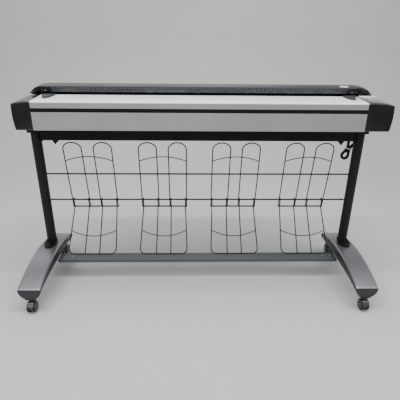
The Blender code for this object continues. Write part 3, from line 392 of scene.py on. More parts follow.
def make_feet():
    reach, bevel, count = FOOT_HALF - 0.0012, 0.0008, 56
    for side, x0 in (("left", -LEG_X), ("right", LEG_X)):
        stations = [(FOOT_Y + reach * (2 * i / count - 1), 0.0) for i in range(count + 1)]
        stations.insert(0, (FOOT_Y - reach - bevel, bevel))
        stations.insert(-1, (FOOT_Y + reach + bevel, bevel))  # the rear end turns back behind its end plate
        shape = bmesh.new()
        loft(shape, [[(x0 + x, y, z) for x, z in foot_section(y, inset)] for y, inset in stations])
        bmesh.ops.recalc_face_normals(shape, faces=shape.faces)
        # Faces that look up keep the grey foot metal; the flanks and underside take a near-black finish as
        # painted shade.
        top = shape.copy()
        for part, keeps_top in ((top, True), (shape, False)):
            gone = [f for f in part.faces if (f.normal.z > 0.12) != keeps_top]
            bmesh.ops.delete(part, geom=gone, context="FACES")
        piece(f"foot_{side}_top", mesh_of(top, "foot_top", False), "foot_metal", stands_for=f"foot_{side}",
              angle=50)
        piece(f"foot_{side}_flanks", mesh_of(shape, "foot_flanks", False), "foot_flank_painted_shade",
              angle=50)
        plates = bmesh.new()
        for way in (-1, 1):
            end = FOOT_Y + way * FOOT_HALF
            lines = []
            for out, inset in ((-0.004, 0.0035), (0.0004, 0.0035), (0.001, 0.0045), (0.001, 0.008)):
                lines.append([(x0 + x, end + way * (out - 0.0012), z) for x, z in foot_section(end, inset)])
            loft(plates, lines)
        piece(f"foot_{side}_end_plates", plates, "foot_end", angle=40)
        inner = x0 + (FOOT_WIDTH / 2 + 0.0022 if x0 < 0 else -FOOT_WIDTH / 2 - 0.0022)
        line = [(inner, y, foot_top(y) - 0.009) for y in (0.118, 0.14, 0.165, 0.19, 0.215, 0.236)]
        piece(f"foot_{side}_edging", curve_mesh("edging", [line, line[3:]], 0.0042), "cap_plastic", angle=50)
        knob = bmesh.new()
        add_turned(knob, [(0, 0.005), (0.003, 0.0078), (0.014, 0.0078), (0.018, 0.005)],
                   (inner, 0.224, foot_top(0.232) - 0.008), (0, 1, 0), 28)
        piece(f"foot_{side}_knob", knob, "cap_plastic", angle=40)


def make_legs():
    """Round tubes; each stands on an oval flange that draws up and back into a ring round the tube."""
    half_wide, half_long = FLANGE
    seat = foot_top(LEG_Y - FLANGE_AHEAD - half_long) + GAP
    rise = BODY_BOTTOM - 0.0125 - seat
    tube = [(0.015, LEG_RADIUS), (rise - 0.001, LEG_RADIUS), (rise, LEG_RADIUS - 0.001)]
    flange = ((0, 0.0), (0.0072, 0.0), (0.0086, 0.03), (0.0092, 0.3), (0.0108, 0.7), (0.0145, 0.94),
              (0.0158, 1.0))
    for side, x in (("left", -LEG_X), ("right", LEG_X)):
        shape = bmesh.new()
        add_turned(shape, tube, (x, LEG_Y, seat), (0, 0, 1), 72)
        rings = []
        for up, t in flange:
            middle = (x, LEG_Y - FLANGE_AHEAD * (1 - t))
            wide = half_wide + (RING_RADIUS - half_wide) * t
            long = half_long + (RING_RADIUS - half_long) * t
            rings.append([(px, py, seat + up) for px, py in ellipse(middle, wide, long, 56)])
        loft(shape, rings)
        piece(f"leg_{side}_tube", shape, "black_steel", stands_for=f"leg_{side}", angle=30)
        refined(f"head_bracket_{side}", "black_steel", bevel=0.001, segments=3)


def make_crossings():
    refined("top_beam", "black_steel", bevel=0.001)
    refined("lower_crossbar", "crossbar_paint", bevel=0.0006)
    bolts = bmesh.new()
    for side in (-1, 1):
        for y in (0.064, 0.096):
            add_turned(bolts, [(0, 0.0045), (0.0016, 0.0045), (0.0022, 0.0036)], (side * 0.76, y, 0.8345),
                       (0, 0, 1), 20)
        for x in (0.742, 0.7):
            add_turned(bolts, [(0, 0.0042), (0.0014, 0.0042), (0.002, 0.003)], (side * x, 0.011, 0.1207),
                       (0, 0, 1), 20)
    piece("frame_bolts", bolts, "bare_steel", angle=30)
    for name, (y, z) in (("upper_rod", UPPER_ROD), ("middle_rod", MIDDLE_ROD)):
        nearest = max(0.0, abs(y - LEG_Y) - ROD_RADIUS)
        half = LEG_X - math.sqrt(LEG_RADIUS**2 - nearest**2) - GAP
        shape = bmesh.new()
        add_turned(shape, [(-half, ROD_RADIUS), (half, ROD_RADIUS)], (0, y, z), (1, 0, 0), 28)
        for side in (-1, 1):
            add_turned(shape, [(0, 0.0036), (0.0012, 0.0056), (0.0048, 0.0056), (0.0062, 0.0036)],
                       (side * (half - 0.0092) - 0.0031, y, z), (1, 0, 0), 24)
        piece(f"{name}_bar", shape, "wire", stands_for=name, angle=35)


# ---- Wire racks ----------------------------------------------------------------------------
def rod_line(z, offset):
    """Depth of the racks' back frame at a height, `offset` in front of the line through both rods."""
    (y_low, z_low), (y_high, z_high) = MIDDLE_ROD, UPPER_ROD
    return y_low + (y_high - y_low) * (z - z_low) / (z_high - z_low) - offset


def add_weld(shape, place, radius=0.0032):
    """A small bead where two wires are welded."""
    size = Matrix.Diagonal((1.0, 0.8, 1.0, 1.0))
    bmesh.ops.create_uvsphere(shape, u_segments=12, v_segments=8, radius=radius,
                              matrix=Matrix.Translation(place) @ size)


def upper_rack(x0):
    """Two upturned U wires, a bowed cross wire and a thick bar along the bottom."""
    clear = ROD_RADIUS + WIRE + 0.0005
    middle, half = (RACK_OUTER + RACK_INNER) / 2, (RACK_OUTER - RACK_INNER) / 2
    routes = []
    for side in (-1, 1):
        crown = arc((side * middle, RACK_TOP - 0.036), (half, 0.036), 180, 0, 28)
        line = [(side * middle - half, RACK_BAR), *crown, (side * middle + half, RACK_BAR)]
        routes.append([(x0 + x, rod_line(z, clear), z) for x, z in line])
    shape = bmesh.new()
    shape.from_mesh(curve_mesh("upper", routes, WIRE))

    def bow_height(x):
        return 0.668 + 0.025 * (1 - (x / RACK_OUTER) ** 2)

    cross = [RACK_OUTER * t / 16 for t in range(-16, 17)]
    bow = [(x0 + x, rod_line(bow_height(x), clear + 0.003), bow_height(x)) for x in cross]
    shape.from_mesh(curve_mesh("bow", [bow], WIRE * 0.8, 3))
    back = rod_line(RACK_BAR, clear)
    reach, tall = RACK_OUTER + 0.004, 0.0035
    bar = bmesh.new()
    add_box(bar, (x0 - reach, back - 0.001, RACK_BAR - tall), (x0 + reach, back + 0.004, RACK_BAR + tall),
            0.0009)
    shape.from_mesh(mesh_of(bar, "bar"))
    for x in (-RACK_OUTER, -RACK_INNER, RACK_INNER, RACK_OUTER):
        add_weld(shape, (x0 + x, back - 0.0006, RACK_BAR + 0.0032))
        add_weld(shape, (x0 + x, rod_line(bow_height(x), clear + 0.0016), bow_height(x)), 0.0027)
    return mesh_of(shape, "upper_rack", False)


def lower_rack(x0):
    """Wires that hook over the middle rod, drop past the bar and slope forward to a closed end."""
    hook = ROD_RADIUS + WIRE + 0.0006
    rod_y, rod_z = MIDDLE_ROD
    knee = (rod_line(RACK_BAR, ROD_RADIUS + WIRE + 0.0005) - 0.001 - WIRE - 0.0012, RACK_BAR)
    joint, end = Vector((0, *knee)), Vector((0, *RACK_LOW_END))
    top_half, low_half = RACK_OUTER - RACK_FLARE, RACK_OUTER + 0.003
    inner_top, inner_low = RACK_INNER + RACK_FLARE, RACK_INNER + RACK_FLARE + 0.002

    def over_rod(x):
        turn = arc((rod_y, rod_z), hook, -20, 195, 20)
        return [(x, y, z) for y, z in turn] + [(x, *knee)]

    def bow_spot(t):
        return joint + (end - joint) * (0.5 + 0.12 * (1 - t**2))

    corner = 0.03
    across = low_half - corner
    fall = (end - joint).normalized()
    outer = over_rod(-top_half)
    for i in range(13):
        t = math.radians(i * 7.5)
        aside = Vector((-across - corner * math.cos(t), 0, 0))
        outer.append(tuple(end - fall * corner * (1 - math.sin(t)) + aside))
    outer += [(-x, y, z) for x, y, z in reversed(outer)]
    routes = [outer]
    for side in (-1, 1):
        routes.append(over_rod(side * inner_top) + [(side * inner_low, *RACK_LOW_END)])
    routes = [[(x0 + x, y, z) for x, y, z in route] for route in routes]
    shape = bmesh.new()
    shape.from_mesh(curve_mesh("lower", routes, WIRE))
    bow = []
    for t in range(-16, 17):
        spot = bow_spot(t / 16)
        bow.append((x0 + t / 16 * (top_half + (low_half - top_half) * 0.6), spot.y - 0.003, spot.z - 0.001))
    shape.from_mesh(curve_mesh("bow", [bow], WIRE * 0.8, 3))
    for side in (-1, 1):
        add_weld(shape, (x0 + side * inner_low, *RACK_LOW_END), 0.003)
        spot = bow_spot(inner_low / low_half)
        add_weld(shape, (x0 + side * (inner_low + inner_top) / 2, spot.y - 0.0015, spot.z - 0.0005), 0.0027)
    return mesh_of(shape, "lower_rack", False)


def make_racks():
    for i in range(4):
        x0 = RACK_PITCH * (i - 1.5)
        piece(f"rack_frame_{i + 1}", upper_rack(x0), "wire", stands_for=f"rack_upper_{i + 1}", angle=50)
        piece(f"rack_tray_{i + 1}", lower_rack(x0), "wire", f"lower_rack_{i + 1}",
              stands_for=f"rack_lower_{i + 1}", angle=50)


# ---- Casters -------------------------------------------------------------------------------
def add_hood(shape, x, axle_y, way):
    """The curved cover over the wheels: a thin shell between two arcs round the axle."""
    reach, edge, skin = 0.0145, 0.0006, 0.0024
    first, last = (-10, 155) if way < 0 else (25, 190)
    centre = (axle_y, WHEEL_RADIUS)
    rows = []
    for off, shrink in ((-reach, edge), (-reach + edge, 0.0), (reach - edge, 0.0), (reach, edge)):
        ring = arc(centre, HOOD_RADIUS - shrink, first, last, 36)
        ring += arc(centre, HOOD_RADIUS - skin + shrink, last, first, 36)
        rows.append([(x + off, y, z) for y, z in ring])
    loft(shape, rows)


def make_casters():
    for end, way in (("front", -1), ("rear", 1)):
        for side, x in (("left", -LEG_X), ("right", LEG_X)):
            make_caster(f"{end}_{side}", way, x)


def make_caster(name, way, x):
    y = FOOT_Y + way * (FOOT_HALF - CASTER_INSET)
    axle_y = y + way * CASTER_TRAIL
    hood = bmesh.new()
    add_hood(hood, x, axle_y, way)
    core = arc((axle_y, WHEEL_RADIUS), 0.0245, -8, 188, 36)
    loft(hood, [[(x + off, py, pz) for py, pz in core] for off in (-0.0078, 0.0078)])
    add_box(hood, (x - 0.007, axle_y - 0.006, 0.045), (x + 0.007, axle_y + 0.006, 0.058), 0.001)
    low, high = sorted((y, axle_y))
    add_box(hood, (x - 0.0072, low - 0.002, 0.036), (x + 0.0072, high + 0.002, 0.0495), 0.002, 3)
    add_turned(hood, [(0, 0.008), (0.026, 0.008)], (x, y, 0.0345), (0, 0, 1), 28)
    piece(f"caster_{name}_fork", hood, "caster_body", f"{name}_swivel", stands_for=f"caster_{name}_housing")
    cup = bmesh.new()
    add_turned(cup, [(0, 0.0185), (0.0012, 0.021), (0.006, 0.0222), (0.0076, 0.0222)], (x, y, 0.0608),
               (0, 0, 1), 36)
    piece(f"caster_{name}_cup", cup, "cap_plastic", f"{name}_swivel")
    tyre = [(0, 0.0205), (0, 0.025), (0.0008, 0.0266), (0.002, 0.0277), (0.0035, WHEEL_RADIUS),
            (0.0075, WHEEL_RADIUS), (0.0092, 0.0277), (0.0104, 0.0266), (0.011, 0.025), (0.011, 0.0225)]
    hub = [(-0.0002, 0.0034), (-0.0002, 0.0206), (0.0108, 0.0222), (0.0114, 0.0212), (0.0114, 0.0185),
           (0.0096, 0.017), (0.0096, 0.0095), (0.011, 0.008), (0.0113, 0.0062), (0.0113, 0.0034)]
    spoke = Matrix.Diagonal((0.0022, 0.0076, 0.0016, 1))
    tyres, hubs = bmesh.new(), bmesh.new()
    for turn in (-1, 1):
        start = Vector((x + turn * 0.0088, axle_y, WHEEL_RADIUS))
        add_turned(tyres, tyre, start, (turn, 0, 0), 48)
        add_turned(hubs, hub, start, (turn, 0, 0), 48)
        for k in range(6):
            t = math.radians(60 * k)
            spot = start + Vector((turn * 0.01, 0.0133 * math.cos(t), 0.0133 * math.sin(t)))
            place = Matrix.Translation(spot) @ Matrix.Rotation(t, 4, "X")
            bmesh.ops.create_cube(hubs, size=1.0, matrix=place @ spoke)
    piece(f"caster_{name}_tyres", tyres, "caster_tyre", f"{name}_wheel", stands_for=f"caster_{name}_wheels",
          angle=40)
    piece(f"caster_{name}_hubs", hubs, "caster_clear", f"{name}_wheel")
    plate, rows = bmesh.new(), []
    for along in (y - way * 0.022, y + way * 0.0305):
        top = foot_top(along) - 0.006
        half, deep = FOOT_WIDTH / 2, top - FOOT_BOTTOM
        ring = arc((0, top), (half + 0.0004, deep + 0.0004), 243, 297, 18)
        ring += arc((0, top), (half + 0.0042, deep + 0.0042), 297, 243, 18)
        rows.append([(x + px, along, pz) for px, pz in ring])
    loft(plate, rows)
    piece(f"caster_{name}_plate", plate, "cap_plastic")


# ---- Data lead -----------------------------------------------------------------------------
def hank_points():
    """The lead's turns in the hank's own upright frame: three wide, three middling, three narrow."""
    top = HANK_LENGTH / 2 - HANK_WIDTH / 2
    widths = ((0.0205, 0.011), (0.0163, 0.0067), (0.0121, 0.0024))
    depths = (-0.0044, 0.0, 0.0044)
    turns = [(*widths[0], d) for d in depths] + [(*widths[1], d) for d in reversed(depths)]
    turns += [(*widths[2], d) for d in depths]
    turns.append(turns[-1])
    found = []

    def side(wide, waist, z):
        return waist + (wide - waist) * (1 - math.cos(math.pi * z / top)) / 2

    for now, after in zip(turns, turns[1:]):
        wide, waist, depth = now
        for i in range(22):
            z = top * (1 - 2 * i / 22)
            found.append((side(wide, waist, z), depth, z))
        for i in range(14):
            t = math.radians(-180 * i / 14)
            found.append((wide * math.cos(t), depth, -top + wide * math.sin(t)))
        for i in range(22):
            z = -top * (1 - 2 * i / 22)
            found.append((-side(wide, waist, z), depth, z))
        for i in range(14):
            blend = (1 - math.cos(math.pi * i / 14)) / 2
            t = math.radians(180 - 180 * i / 14)
            reach = wide + (after[0] - wide) * blend
            found.append((reach * math.cos(t), depth + (after[2] - depth) * blend, top + reach * math.sin(t)))
    return found


def make_tie(lean):
    """A band round the hank's waist with its knot in front."""
    half, deep, thick, tall, corner = 0.0136, 0.007, 0.0012, 0.0034, 0.004
    tie = bmesh.new()
    add_box(tie, (-0.003, -deep - 0.0042, -0.003), (0.004, -deep - 0.0006, 0.003), 0.0006)
    rings = []
    for grow, z in ((0, -tall), (thick, -tall + 0.0006), (thick, tall - 0.0006), (0, tall)):
        ring = []
        for wide, out, start in ((1, 1, 0), (-1, 1, 90), (-1, -1, 180), (1, -1, 270)):
            centre = (wide * (half - corner), out * (deep - corner))
            ring += arc(centre, corner + grow, start, start + 90, 6)
        rings.append([(px, py, z) for px, py in ring])
    rows = loft(tie, rings, caps=False)
    low, high = rows[0], rows[-1]
    for j in range(len(low)):
        k = (j + 1) % len(low)
        tie.faces.new((low[j], low[k], high[k], high[j]))
    tie.transform(lean)
    return piece("lead_tie_band", tie, "tie", stands_for="lead_tie")


def make_plug():
    """A flat plug with a grooved grip, hanging behind the hank."""
    plug = bmesh.new()
    add_box(plug, (-0.008, 0, -0.017), (0.008, 0.008, 0.006), 0.0018, 3)
    add_box(plug, (-0.006, 0.0018, -0.029), (0.006, 0.0062, -0.0165), 0.0005)
    add_turned(plug, [(0, 0.0046), (0.0012, 0.0048), (0.005, 0.0036)], (0, 0.004, 0.0052), (0, 0, 1), 24)
    for i in range(3):
        low = -0.012 + 0.004 * i
        add_box(plug, (-0.0083, 0.0012, low), (0.0083, 0.0068, low + 0.0015), 0.0004)
    place = Matrix.Translation(HANK_CENTRE + Vector((0.006, HANK_DEPTH / 2 + 0.0025, 0.002)))
    plug.transform(place @ Matrix.Rotation(HANK_LEAN, 4, "Y"))
    return piece("lead_plug", plug, "cap_plastic", stands_for="lead_connector")


def make_lead():
    lean = Matrix.Translation(HANK_CENTRE) @ Matrix.Rotation(HANK_LEAN, 4, "Y")
    coil = [lean @ Vector(p) for p in hank_points()]
    lead_in = smooth_route([*LEAD_ROUTE, coil[5], coil[8]], 5)[:-5]
    tail = [(0.0121, 0.0044, 0.0405), (0.0117, 0.0062, 0.033), (0.01, 0.0098, 0.024),
            (0.0078, 0.0128, 0.016), (0.006, 0.013, 0.0095)]
    line = [*lead_in, *coil[5:], *smooth_route([lean @ Vector(p) for p in tail], 4)]
    cord = placed("data_lead_line", wire_curve("data_lead_line", [line], LEAD_RADIUS, 5))
    cord.data.materials.append(PAINT["cord"])
    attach(cord, "root")
    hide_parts("data_lead", "data_lead_hank")
    band, plug = make_tie(lean), make_plug()


# ---- Scanner -------------------------------------------------------------------------------
def cap_section(outer, inner, inset=0.0):
    """Front view of an end cap: its outer side bows and leans in below, and its top falls outwards."""
    way = 1 if outer > 0 else -1
    foot = outer - way * (CAP_SLANT + inset)
    low = BODY_BOTTOM + inset
    high_out, high_in = CAP_OUT - inset, CAP_IN - inset
    outer = outer - way * inset
    line = [(inner, low), (foot - way * CAP_TURN, low)]
    for degrees in (22, 45, 68, 90):
        t = math.radians(degrees)
        line.append((foot - way * CAP_TURN * (1 - math.sin(t)), low + CAP_TURN * (1 - math.cos(t))))
    for i in range(1, 15):
        t = i / 15
        x = foot + (outer - foot) * t + way * 0.0036 * math.sin(math.pi * t)
        line.append((x, low + CAP_TURN + (high_out - low - 2 * CAP_TURN) * t))
    for degrees in range(0, 91, 15):
        t = math.radians(degrees)
        line.append((outer - way * CAP_TURN * (1 - math.cos(t)), high_out - CAP_TURN * (1 - math.sin(t))))
    edge = abs(line[-1][0] - inner)
    for i in range(1, 13):
        t = 1 - i / 12
        line.append((inner + way * edge * t, high_in - (high_in - high_out) * t**1.9))
    return line


def make_caps():
    round_front, round_back = 0.007, 0.004
    rings = []
    for i in range(9):
        t = math.radians(90 * i / 8)
        rings.append((FRONT_Y + round_front * (1 - math.cos(t)), round_front * 0.75 * (1 - math.sin(t))))
    rings += [(y, 0.0) for y in (-0.08, 0.0, 0.08, 0.16, 0.24)]
    for i in range(6):
        t = math.radians(90 * i / 5)
        rings.append((BACK_Y - round_back * (1 - math.sin(t)), 0.003 * (1 - math.cos(t))))
    for side, outer in (("left", LEFT_END), ("right", RIGHT_END)):
        way = 1 if outer > 0 else -1
        inner = way * (BODY_X + GAP)
        shape = bmesh.new()
        loft(shape, [[(x, y, z) for x, z in cap_section(outer, inner, inset)] for y, inset in rings])
        cap = piece(f"{side}_cap", shape, "cap_plastic", stands_for=f"{side}_end_cap", angle=42)
        cut(cap, pocket(side))
        vents = bmesh.new()
        low, high = sorted((inner + way * 0.0008, outer - way * (CAP_SLANT + 0.006)))
        levels = [0.892 + 0.009 * k for k in range(9)]
        add_slots(vents, [(low + 0.014, high - 0.01, level, level + 0.004) for level in levels])
        piece(f"{side}_cap_vents", vents, "gloss_strip", angle=30)
        screws = bmesh.new()
        for y in (-0.105, 0.1, 0.3):
            add_turned(screws, [(0, 0.004), (0.0016, 0.004), (0.0024, 0.0028)],
                       (inner + way * 0.06, y, BODY_BOTTOM + 0.0006), (0, 0, -1), 20)
        piece(f"{side}_cap_screws", screws, "bare_steel", angle=30)


def add_slots(shape, slots):
    """Dark slots on the back face, each as (left, right, low, high)."""
    for left, right, low, high in slots:
        add_box(shape, (left, BACK_Y - 0.0006, low), (right, BACK_Y - 0.0001, high), 0.0002, 1)


def pocket(side):
    """The room for belt and pulleys in the left cap, and for the keys in the right cap."""
    shape = bmesh.new()
    if side == "left":
        add_box(shape, (-0.776, 0.054, 0.9), (-BODY_X + 0.002, 0.254, 1.01))
    else:
        for _, _, x, y, radius in KEYS:
            hole = radius + KEY_PLAY
            add_turned(shape, [(0, hole), (0.04, hole)], (x, y, cap_top(x) - 0.0035), (0, 0, 1), 36)
    return shape


def cap_top(x):
    """Height of the right cap's top, which falls ever more steeply outwards."""
    return CAP_IN - (CAP_IN - CAP_OUT) * ((x - BODY_X) / (RIGHT_END - CAP_TURN - BODY_X)) ** 1.9


def leaf_outline(way, grow=0.0):
    """Plan of a lid lock: a curved leaf whose point lies towards the middle and the front."""
    corners = [(0.7385, 0.0135), (0.708, 0.0122), (0.677, 0.01), (0.6768, -0.004), (0.678, -0.018),
               (0.6805, -0.034), (0.684, -0.048), (0.6885, -0.06), (0.694, -0.069), (0.6995, -0.0745),
               (0.706, -0.076), (0.7125, -0.066), (0.7205, -0.048), (0.7285, -0.028), (0.7345, -0.008)]
    centre = (0.704, -0.03)
    spread = []
    for x, y in corners:
        dx, dy = x - centre[0], y - centre[1]
        reach = math.hypot(dx, dy)
        spread.append((way * (x + dx / reach * grow), min(y + dy / reach * grow, TABLE_BACK - 0.0006)))
    return spread


def make_table():
    """The white feed table with a rounded front edge; its wells take the lid locks."""
    refined("front_panel", "silver_panel", bevel=0.0005)
    refined("accent_strip", "gloss_strip", bevel=0.0003)
    turn = 0.0058
    foot = FRONT_TOP - 0.0063
    section = [(FRONT_Y, foot), *arc((FRONT_Y + turn, FRONT_TOP - turn), turn, 180, 95, 14), (-0.09, 0.998),
               (-0.04, 0.9996), (0.0, 1.0007), (TABLE_BACK - 0.0006, 1.00105), (TABLE_BACK, 1.0004),
               (TABLE_BACK, PAPER_Z - 0.003), (FRONT_Y + 0.004, foot)]
    places = [-BODY_X, -BODY_X + 0.0006, *[-0.7 + 0.1 * i for i in range(15)], BODY_X - 0.0006, BODY_X]
    rows = []
    for x in places:
        tuck = 0.0005 if abs(x) > BODY_X - GAP else 0.0
        rows.append([(x, y - math.copysign(tuck, y), z + (-tuck if z > 0.99 else tuck)) for y, z in section])
    shape = bmesh.new()
    loft(shape, rows)
    table = piece("feed_table_top", shape, "white_table", stands_for="feed_table", angle=32)
    for side, way in (("left", -1), ("right", 1)):
        well = bmesh.new()
        loft(well, [[(x, y, z) for x, y in leaf_outline(way, 0.0008)] for z in (0.97, 1.02)])
        cut(table, well)
        leaf = bmesh.new()
        domed = ((-0.0006, 0.9906), (0.0, 0.9912), (0.0, 1.005), (-0.0008, 1.0064), (-0.0024, 1.0071),
                 (-0.012, 1.0074))
        loft(leaf, [[(x, y, z) for x, y in leaf_outline(way, grow)] for grow, z in domed])
        piece(f"latch_leaf_{side}", leaf, "latch_plastic", f"{side}_latch",
              stands_for=f"latch_button_{side}", angle=38)
    marks = bmesh.new()
    for k in range(5):
        x = -0.6 + 0.3 * k
        add_box(marks, (x - 0.0004, -0.122, 0.9966), (x + 0.0004, -0.1, 0.998), 0.0001, 1)
    piece("table_size_marks", marks, "lid_plastic", angle=30)


def lid_line(x):
    """The lid's outer line at one place along its length, front to back."""
    low, high = LID_ENDS
    beyond = max(0.0, x - (high - LID_ROUND), (low + LID_ROUND) - x) / LID_ROUND
    rise = 1 - min(beyond, 1.0) ** 2.2
    draw = LID_SWEEP * (1 - rise)
    lip = LID_LIP if abs(x) < BODY_X - 0.001 else LID_BASE
    coarse = [(LID_FRONT, lip), (LID_FRONT + 0.0007, 1.035), (LID_FRONT + 0.002, 1.0363), (0.0355, 1.0375),
              (0.04, 1.0385), (0.05, 1.0398), (0.06, 1.0407), (0.075, 1.0416), (0.09, 1.0419),
              (0.105, 1.0417), (0.12, 1.0408), (0.145, 1.038), (0.17, 1.0345), (0.225, 1.0258),
              (0.27, 1.018), (0.303, 1.0118), (0.321, 1.006), (LID_BACK, 1.0012)]
    found = []
    for y, z in coarse:
        level = LID_BASE + (z - LID_BASE) * max(rise, 0.12)
        found.append((y + draw * (1 - (y - LID_FRONT) / (LID_BACK - LID_FRONT)), level))
    return found


def lid_height(x, y):
    line = lid_line(x)
    for (y0, z0), (y1, z1) in zip(line, line[1:]):
        if y0 <= y <= y1:
            return z0 + (z1 - z0) * (y - y0) / (y1 - y0)
    return line[-1][1]


def make_lid_cover():
    """A thin skin, glossy at its ends beside the guide bar."""
    low, high = LID_ENDS
    bends = [LID_ROUND * (1 - math.cos(math.radians(a))) for a in range(0, 91, 6)]
    inner = BODY_X - 0.0005
    places = [*[low + r for r in bends], *[high - r for r in bends], *[-0.65 + 0.13 * i for i in range(11)]]
    places += [-inner - 0.001, -inner + 0.001, inner - 0.001, inner + 0.001]
    shape = bmesh.new()
    loft(shape, [[(x, y, z) for y, z in lid_line(x)] for x in sorted(places)], closed_ring=False, caps=False)
    bmesh.ops.recalc_face_normals(shape, faces=shape.faces)
    if sum(face.normal.z for face in shape.faces) < 0:
        bmesh.ops.reverse_faces(shape, faces=shape.faces)
    lid = piece("lid_cover", mesh_of(shape, "lid", False), "lid_plastic", "lid", stands_for="lid_shell",
                angle=45)
    lid.data.materials.append(PAINT["lid_gloss"])
    for face in lid.data.polygons:
        out, y = abs(face.center.x), face.center.y
        face.material_index = int(out > BODY_X and y < 0.07 + max(0.0, out - 0.76))
    skin = lid.modifiers.new("Solidify", "SOLIDIFY")
    skin.thickness, skin.offset = 0.0018, -1


def add_teeth(shape, count, half, front, low, high, bevel):
    """A row of equal upright teeth on the guide bar's face."""
    for i in range(count):
        x = COMB_HALF * (2 * i / (count - 1) - 1)
        add_box(shape, (x - half, front, low), (x + half, LID_FRONT + 0.0062, high), bevel, 1)


def make_lid():
    make_lid_cover()
    bar = bmesh.new()
    add_box(bar, (-0.7466, LID_FRONT + 0.006, 1.0095), (0.7466, LID_FRONT + 0.01, 1.0335), 0.0006)
    for low, high, bevel in ((1.01, 1.0122, 0.0005), (1.025, 1.0262, 0.0004)):
        add_box(bar, (-0.744, LID_FRONT + 0.0034, low), (0.744, LID_FRONT + 0.0062, high), bevel)
    piece("lid_guide_bar", bar, "cap_plastic", "lid", stands_for="lid_guide")
    ribs, comb = bmesh.new(), bmesh.new()
    add_teeth(ribs, 281, 0.0016, LID_FRONT + 0.0032, 1.0118, 1.0252, 0.0005)
    piece("lid_ribs", ribs, "brush", "lid", angle=30)
    add_teeth(comb, 113, 0.0036, LID_FRONT + 0.0008, 1.026, 1.0338, 0.0008)
    piece("lid_comb", comb, "comb_plastic", "lid", angle=30)
    catches = [[(x, LID_FRONT + 0.0048, z) for x, z in arc((middle, 1.012), 0.0065, 20, 132, 8)]
               for middle in (-0.731, 0.731)]
    piece("lid_catch_wires", curve_mesh("catches", catches, 0.0011, 3), "bare_steel", "lid", angle=50)

    refined("pressure_plate", "white_plate", "lid", 0.0005)
    for end, y in ROLLER_Y.items():
        make_roller(f"{end}_pressure_roller", f"{end}_press", (y, PAPER_Z + GAP + PRESS_RADIUS), PRESS_RADIUS,
                    0.003, (-0.7145, 0.7145), 0.69)
    label = bmesh.new()
    rings = []
    for inset, up in ((0, -0.0008), (0, 0.0002), (0.0008, GAP), (0.006, GAP), (0.012, GAP), (0.018, GAP)):
        plan = ellipse((0.697, 0.061), 0.023 - inset, 0.015 - 0.7 * inset, 40)
        rings.append([(x, y, lid_height(x, y) + up) for x, y in plan])
    loft(label, rings)
    piece("lid_oval_label", label, "badge", "lid")


def panel_plan(low, high, front, back, grow):
    """A rectangle with round corners, anticlockwise, as (x, y) points."""
    turn = min(0.01, (high - low) / 4)
    found = []
    for x, y, start in ((high - turn, back - turn, 0), (low + turn, back - turn, 90),
                        (low + turn, front + turn, 180), (high - turn, front + turn, 270)):
        found += arc((x, y), turn + grow, start, start + 90, 8)
    return found


def add_plate(shape, sides, levels):
    """A thin plate that follows the cap's falling top; each level is (grow, height above the cap)."""
    loft(shape, [[(x, y, cap_top(x) + up) for x, y in panel_plan(*sides, grow)] for grow, up in levels])


def make_panel():
    """The control panel, its keys, and the bright bar behind them."""
    shape = bmesh.new()
    add_plate(shape, (0.758, 0.85, -0.118, 0.022), ((0.0, 0.0003), (0.0, 0.0026), (-0.001, 0.0034)))
    plate = piece("operator_panel", shape, "panel_plastic", stands_for="control_panel", angle=38)
    holes = bmesh.new()
    for _, _, x, y, radius in KEYS:
        hole = radius + KEY_PLAY
        add_turned(holes, [(0, hole), (0.03, hole)], (x, y, 0.975), (0, 0, 1), 40)
    cut(plate, holes)
    for node, body, x, y, radius in KEYS:
        key = bmesh.new()
        base = cap_top(x + radius) + 0.0016
        tall = cap_top(x) + 0.0047 - base
        dished = [(0, radius), (tall - 0.0009, radius), (tall - 0.0003, radius - 0.0003),
                  (tall, radius - 0.001), (tall - 0.0003, radius * 0.55)]
        add_turned(key, dished, (x, y, base), (0, 0, 1), 48)
        piece(node + "_cap", key, "key_plastic", body, stands_for=node)
    rail, level = bmesh.new(), cap_top(0.77)
    add_box(rail, (0.76, 0.0195, level - 0.0012), (0.843, 0.0265, level + 0.0072), 0.001, 3)
    piece("panel_rail", rail, "white_table")
    screen = bmesh.new()
    add_plate(screen, (0.768, 0.836, -0.102, -0.04), ((0.0, 0.0033), (0.0, 0.0037), (-0.0006, 0.004)))
    piece("panel_window", screen, "panel_plastic")
    lamps = bmesh.new()
    for k in range(4):
        x = 0.774 + 0.016 * k
        add_turned(lamps, [(0, 0.0022), (0.0008, 0.0022), (0.0012, 0.0016)], (x, -0.026, cap_top(x) + 0.0031),
                   (0, 0, 1), 20)
    piece("panel_lamps", lamps, "badge", angle=30)


def make_roller(node, body, place, radius, shaft, ends, half):
    """Rubber sleeves with rounded rims on a thin shaft. The place is (depth, height)."""
    rubber, core = bmesh.new(), bmesh.new()
    sleeve = [(0, radius - 0.0012), (0.0008, radius - 0.0003), (0.002, radius), (0.198, radius),
              (0.1992, radius - 0.0003), (0.2, radius - 0.0012)]
    for i in range(6):
        add_turned(rubber, sleeve, (half * (i / 3 - 1), *place), (1, 0, 0), 36)
    long, edge = ends[1] - ends[0], 0.0004
    add_turned(core, [(0, shaft - edge), (edge, shaft), (long - edge, shaft), (long, shaft - edge)],
               (ends[0], *place), (1, 0, 0), 28)
    piece(node + "_sleeves", rubber, "rubber", body, stands_for=node)
    piece(node + "_shaft", core, "bare_steel", body)


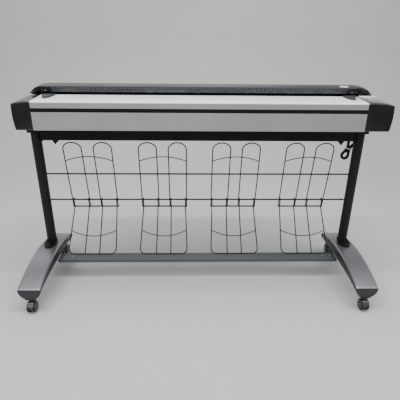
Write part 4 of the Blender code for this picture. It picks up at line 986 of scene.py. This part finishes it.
def make_inside():
    for node, paint, bevel, segments in (
            ("base_pan", "black_steel", 0.0005, 2), ("side_frame_left", "bare_steel", 0.0004, 1),
            ("side_frame_right", "bare_steel", 0.0004, 1), ("base_deck", "lid_plastic", 0.0004, 2),
            ("scan_glass", "glass", 0.0003, 2), ("sensor_bar", "cap_plastic", 0.0008, 2),
            ("main_board", "board", 0.0003, 1), ("power_supply", "bare_steel", 0.0004, 1),
            ("drive_motor", "bare_steel", 0.0006, 2)):
        refined(node, paint, bevel=bevel, segments=segments)
    refined("motor_pulley", "bare_steel", "motor_shaft", 0.0004)
    refined("drive_belt", "rubber", bevel=0.0003, segments=1)
    refined("socket_box", "cap_plastic", bevel=0.0008, segments=3)
    for end, y in ROLLER_Y.items():
        node, body, place = f"{end}_drive_roller", f"{end}_roller", (y, PAPER_Z - GAP - DRIVE_RADIUS)
        make_roller(node, body, place, DRIVE_RADIUS, 0.004, (-0.76, 0.7455), 0.695)
        wheel = bmesh.new()
        rim = [(0, 0.0052), (0.0006, 0.0058), (0.0113, 0.0058), (0.0119, 0.0052)]
        add_turned(wheel, rim, (-0.772, *place), (1, 0, 0), 44)
        piece(node + "_pulley", wheel, "bare_steel", body)


def make_back():
    vents = bmesh.new()
    add_slots(vents, [(-0.6435 + 0.012 * k, -0.6365 + 0.012 * k, 0.9, 0.94) for k in range(26)])
    add_slots(vents, [(0.4 + 0.06 * k, 0.44 + 0.06 * k, 0.905, 0.935) for k in range(3)])
    piece("back_vents", vents, "gloss_strip", angle=30)
    heads = bmesh.new()
    for k in range(8):
        for z in (0.88, 0.972):
            add_turned(heads, [(0, 0.0034), (0.0002, 0.0034), (0.0004, 0.0024)],
                       (-0.7 + 0.2 * k, BACK_Y - 0.0006, z), (0, 1, 0), 18)
    piece("back_screws", heads, "bare_steel", angle=30)


PAINT = make_finishes()
make_camera()
make_stage()
make_lead()
make_feet()
make_legs()
make_crossings()
make_racks()
make_casters()
make_caps()
make_table()
make_lid()
make_panel()
make_inside()
make_back()
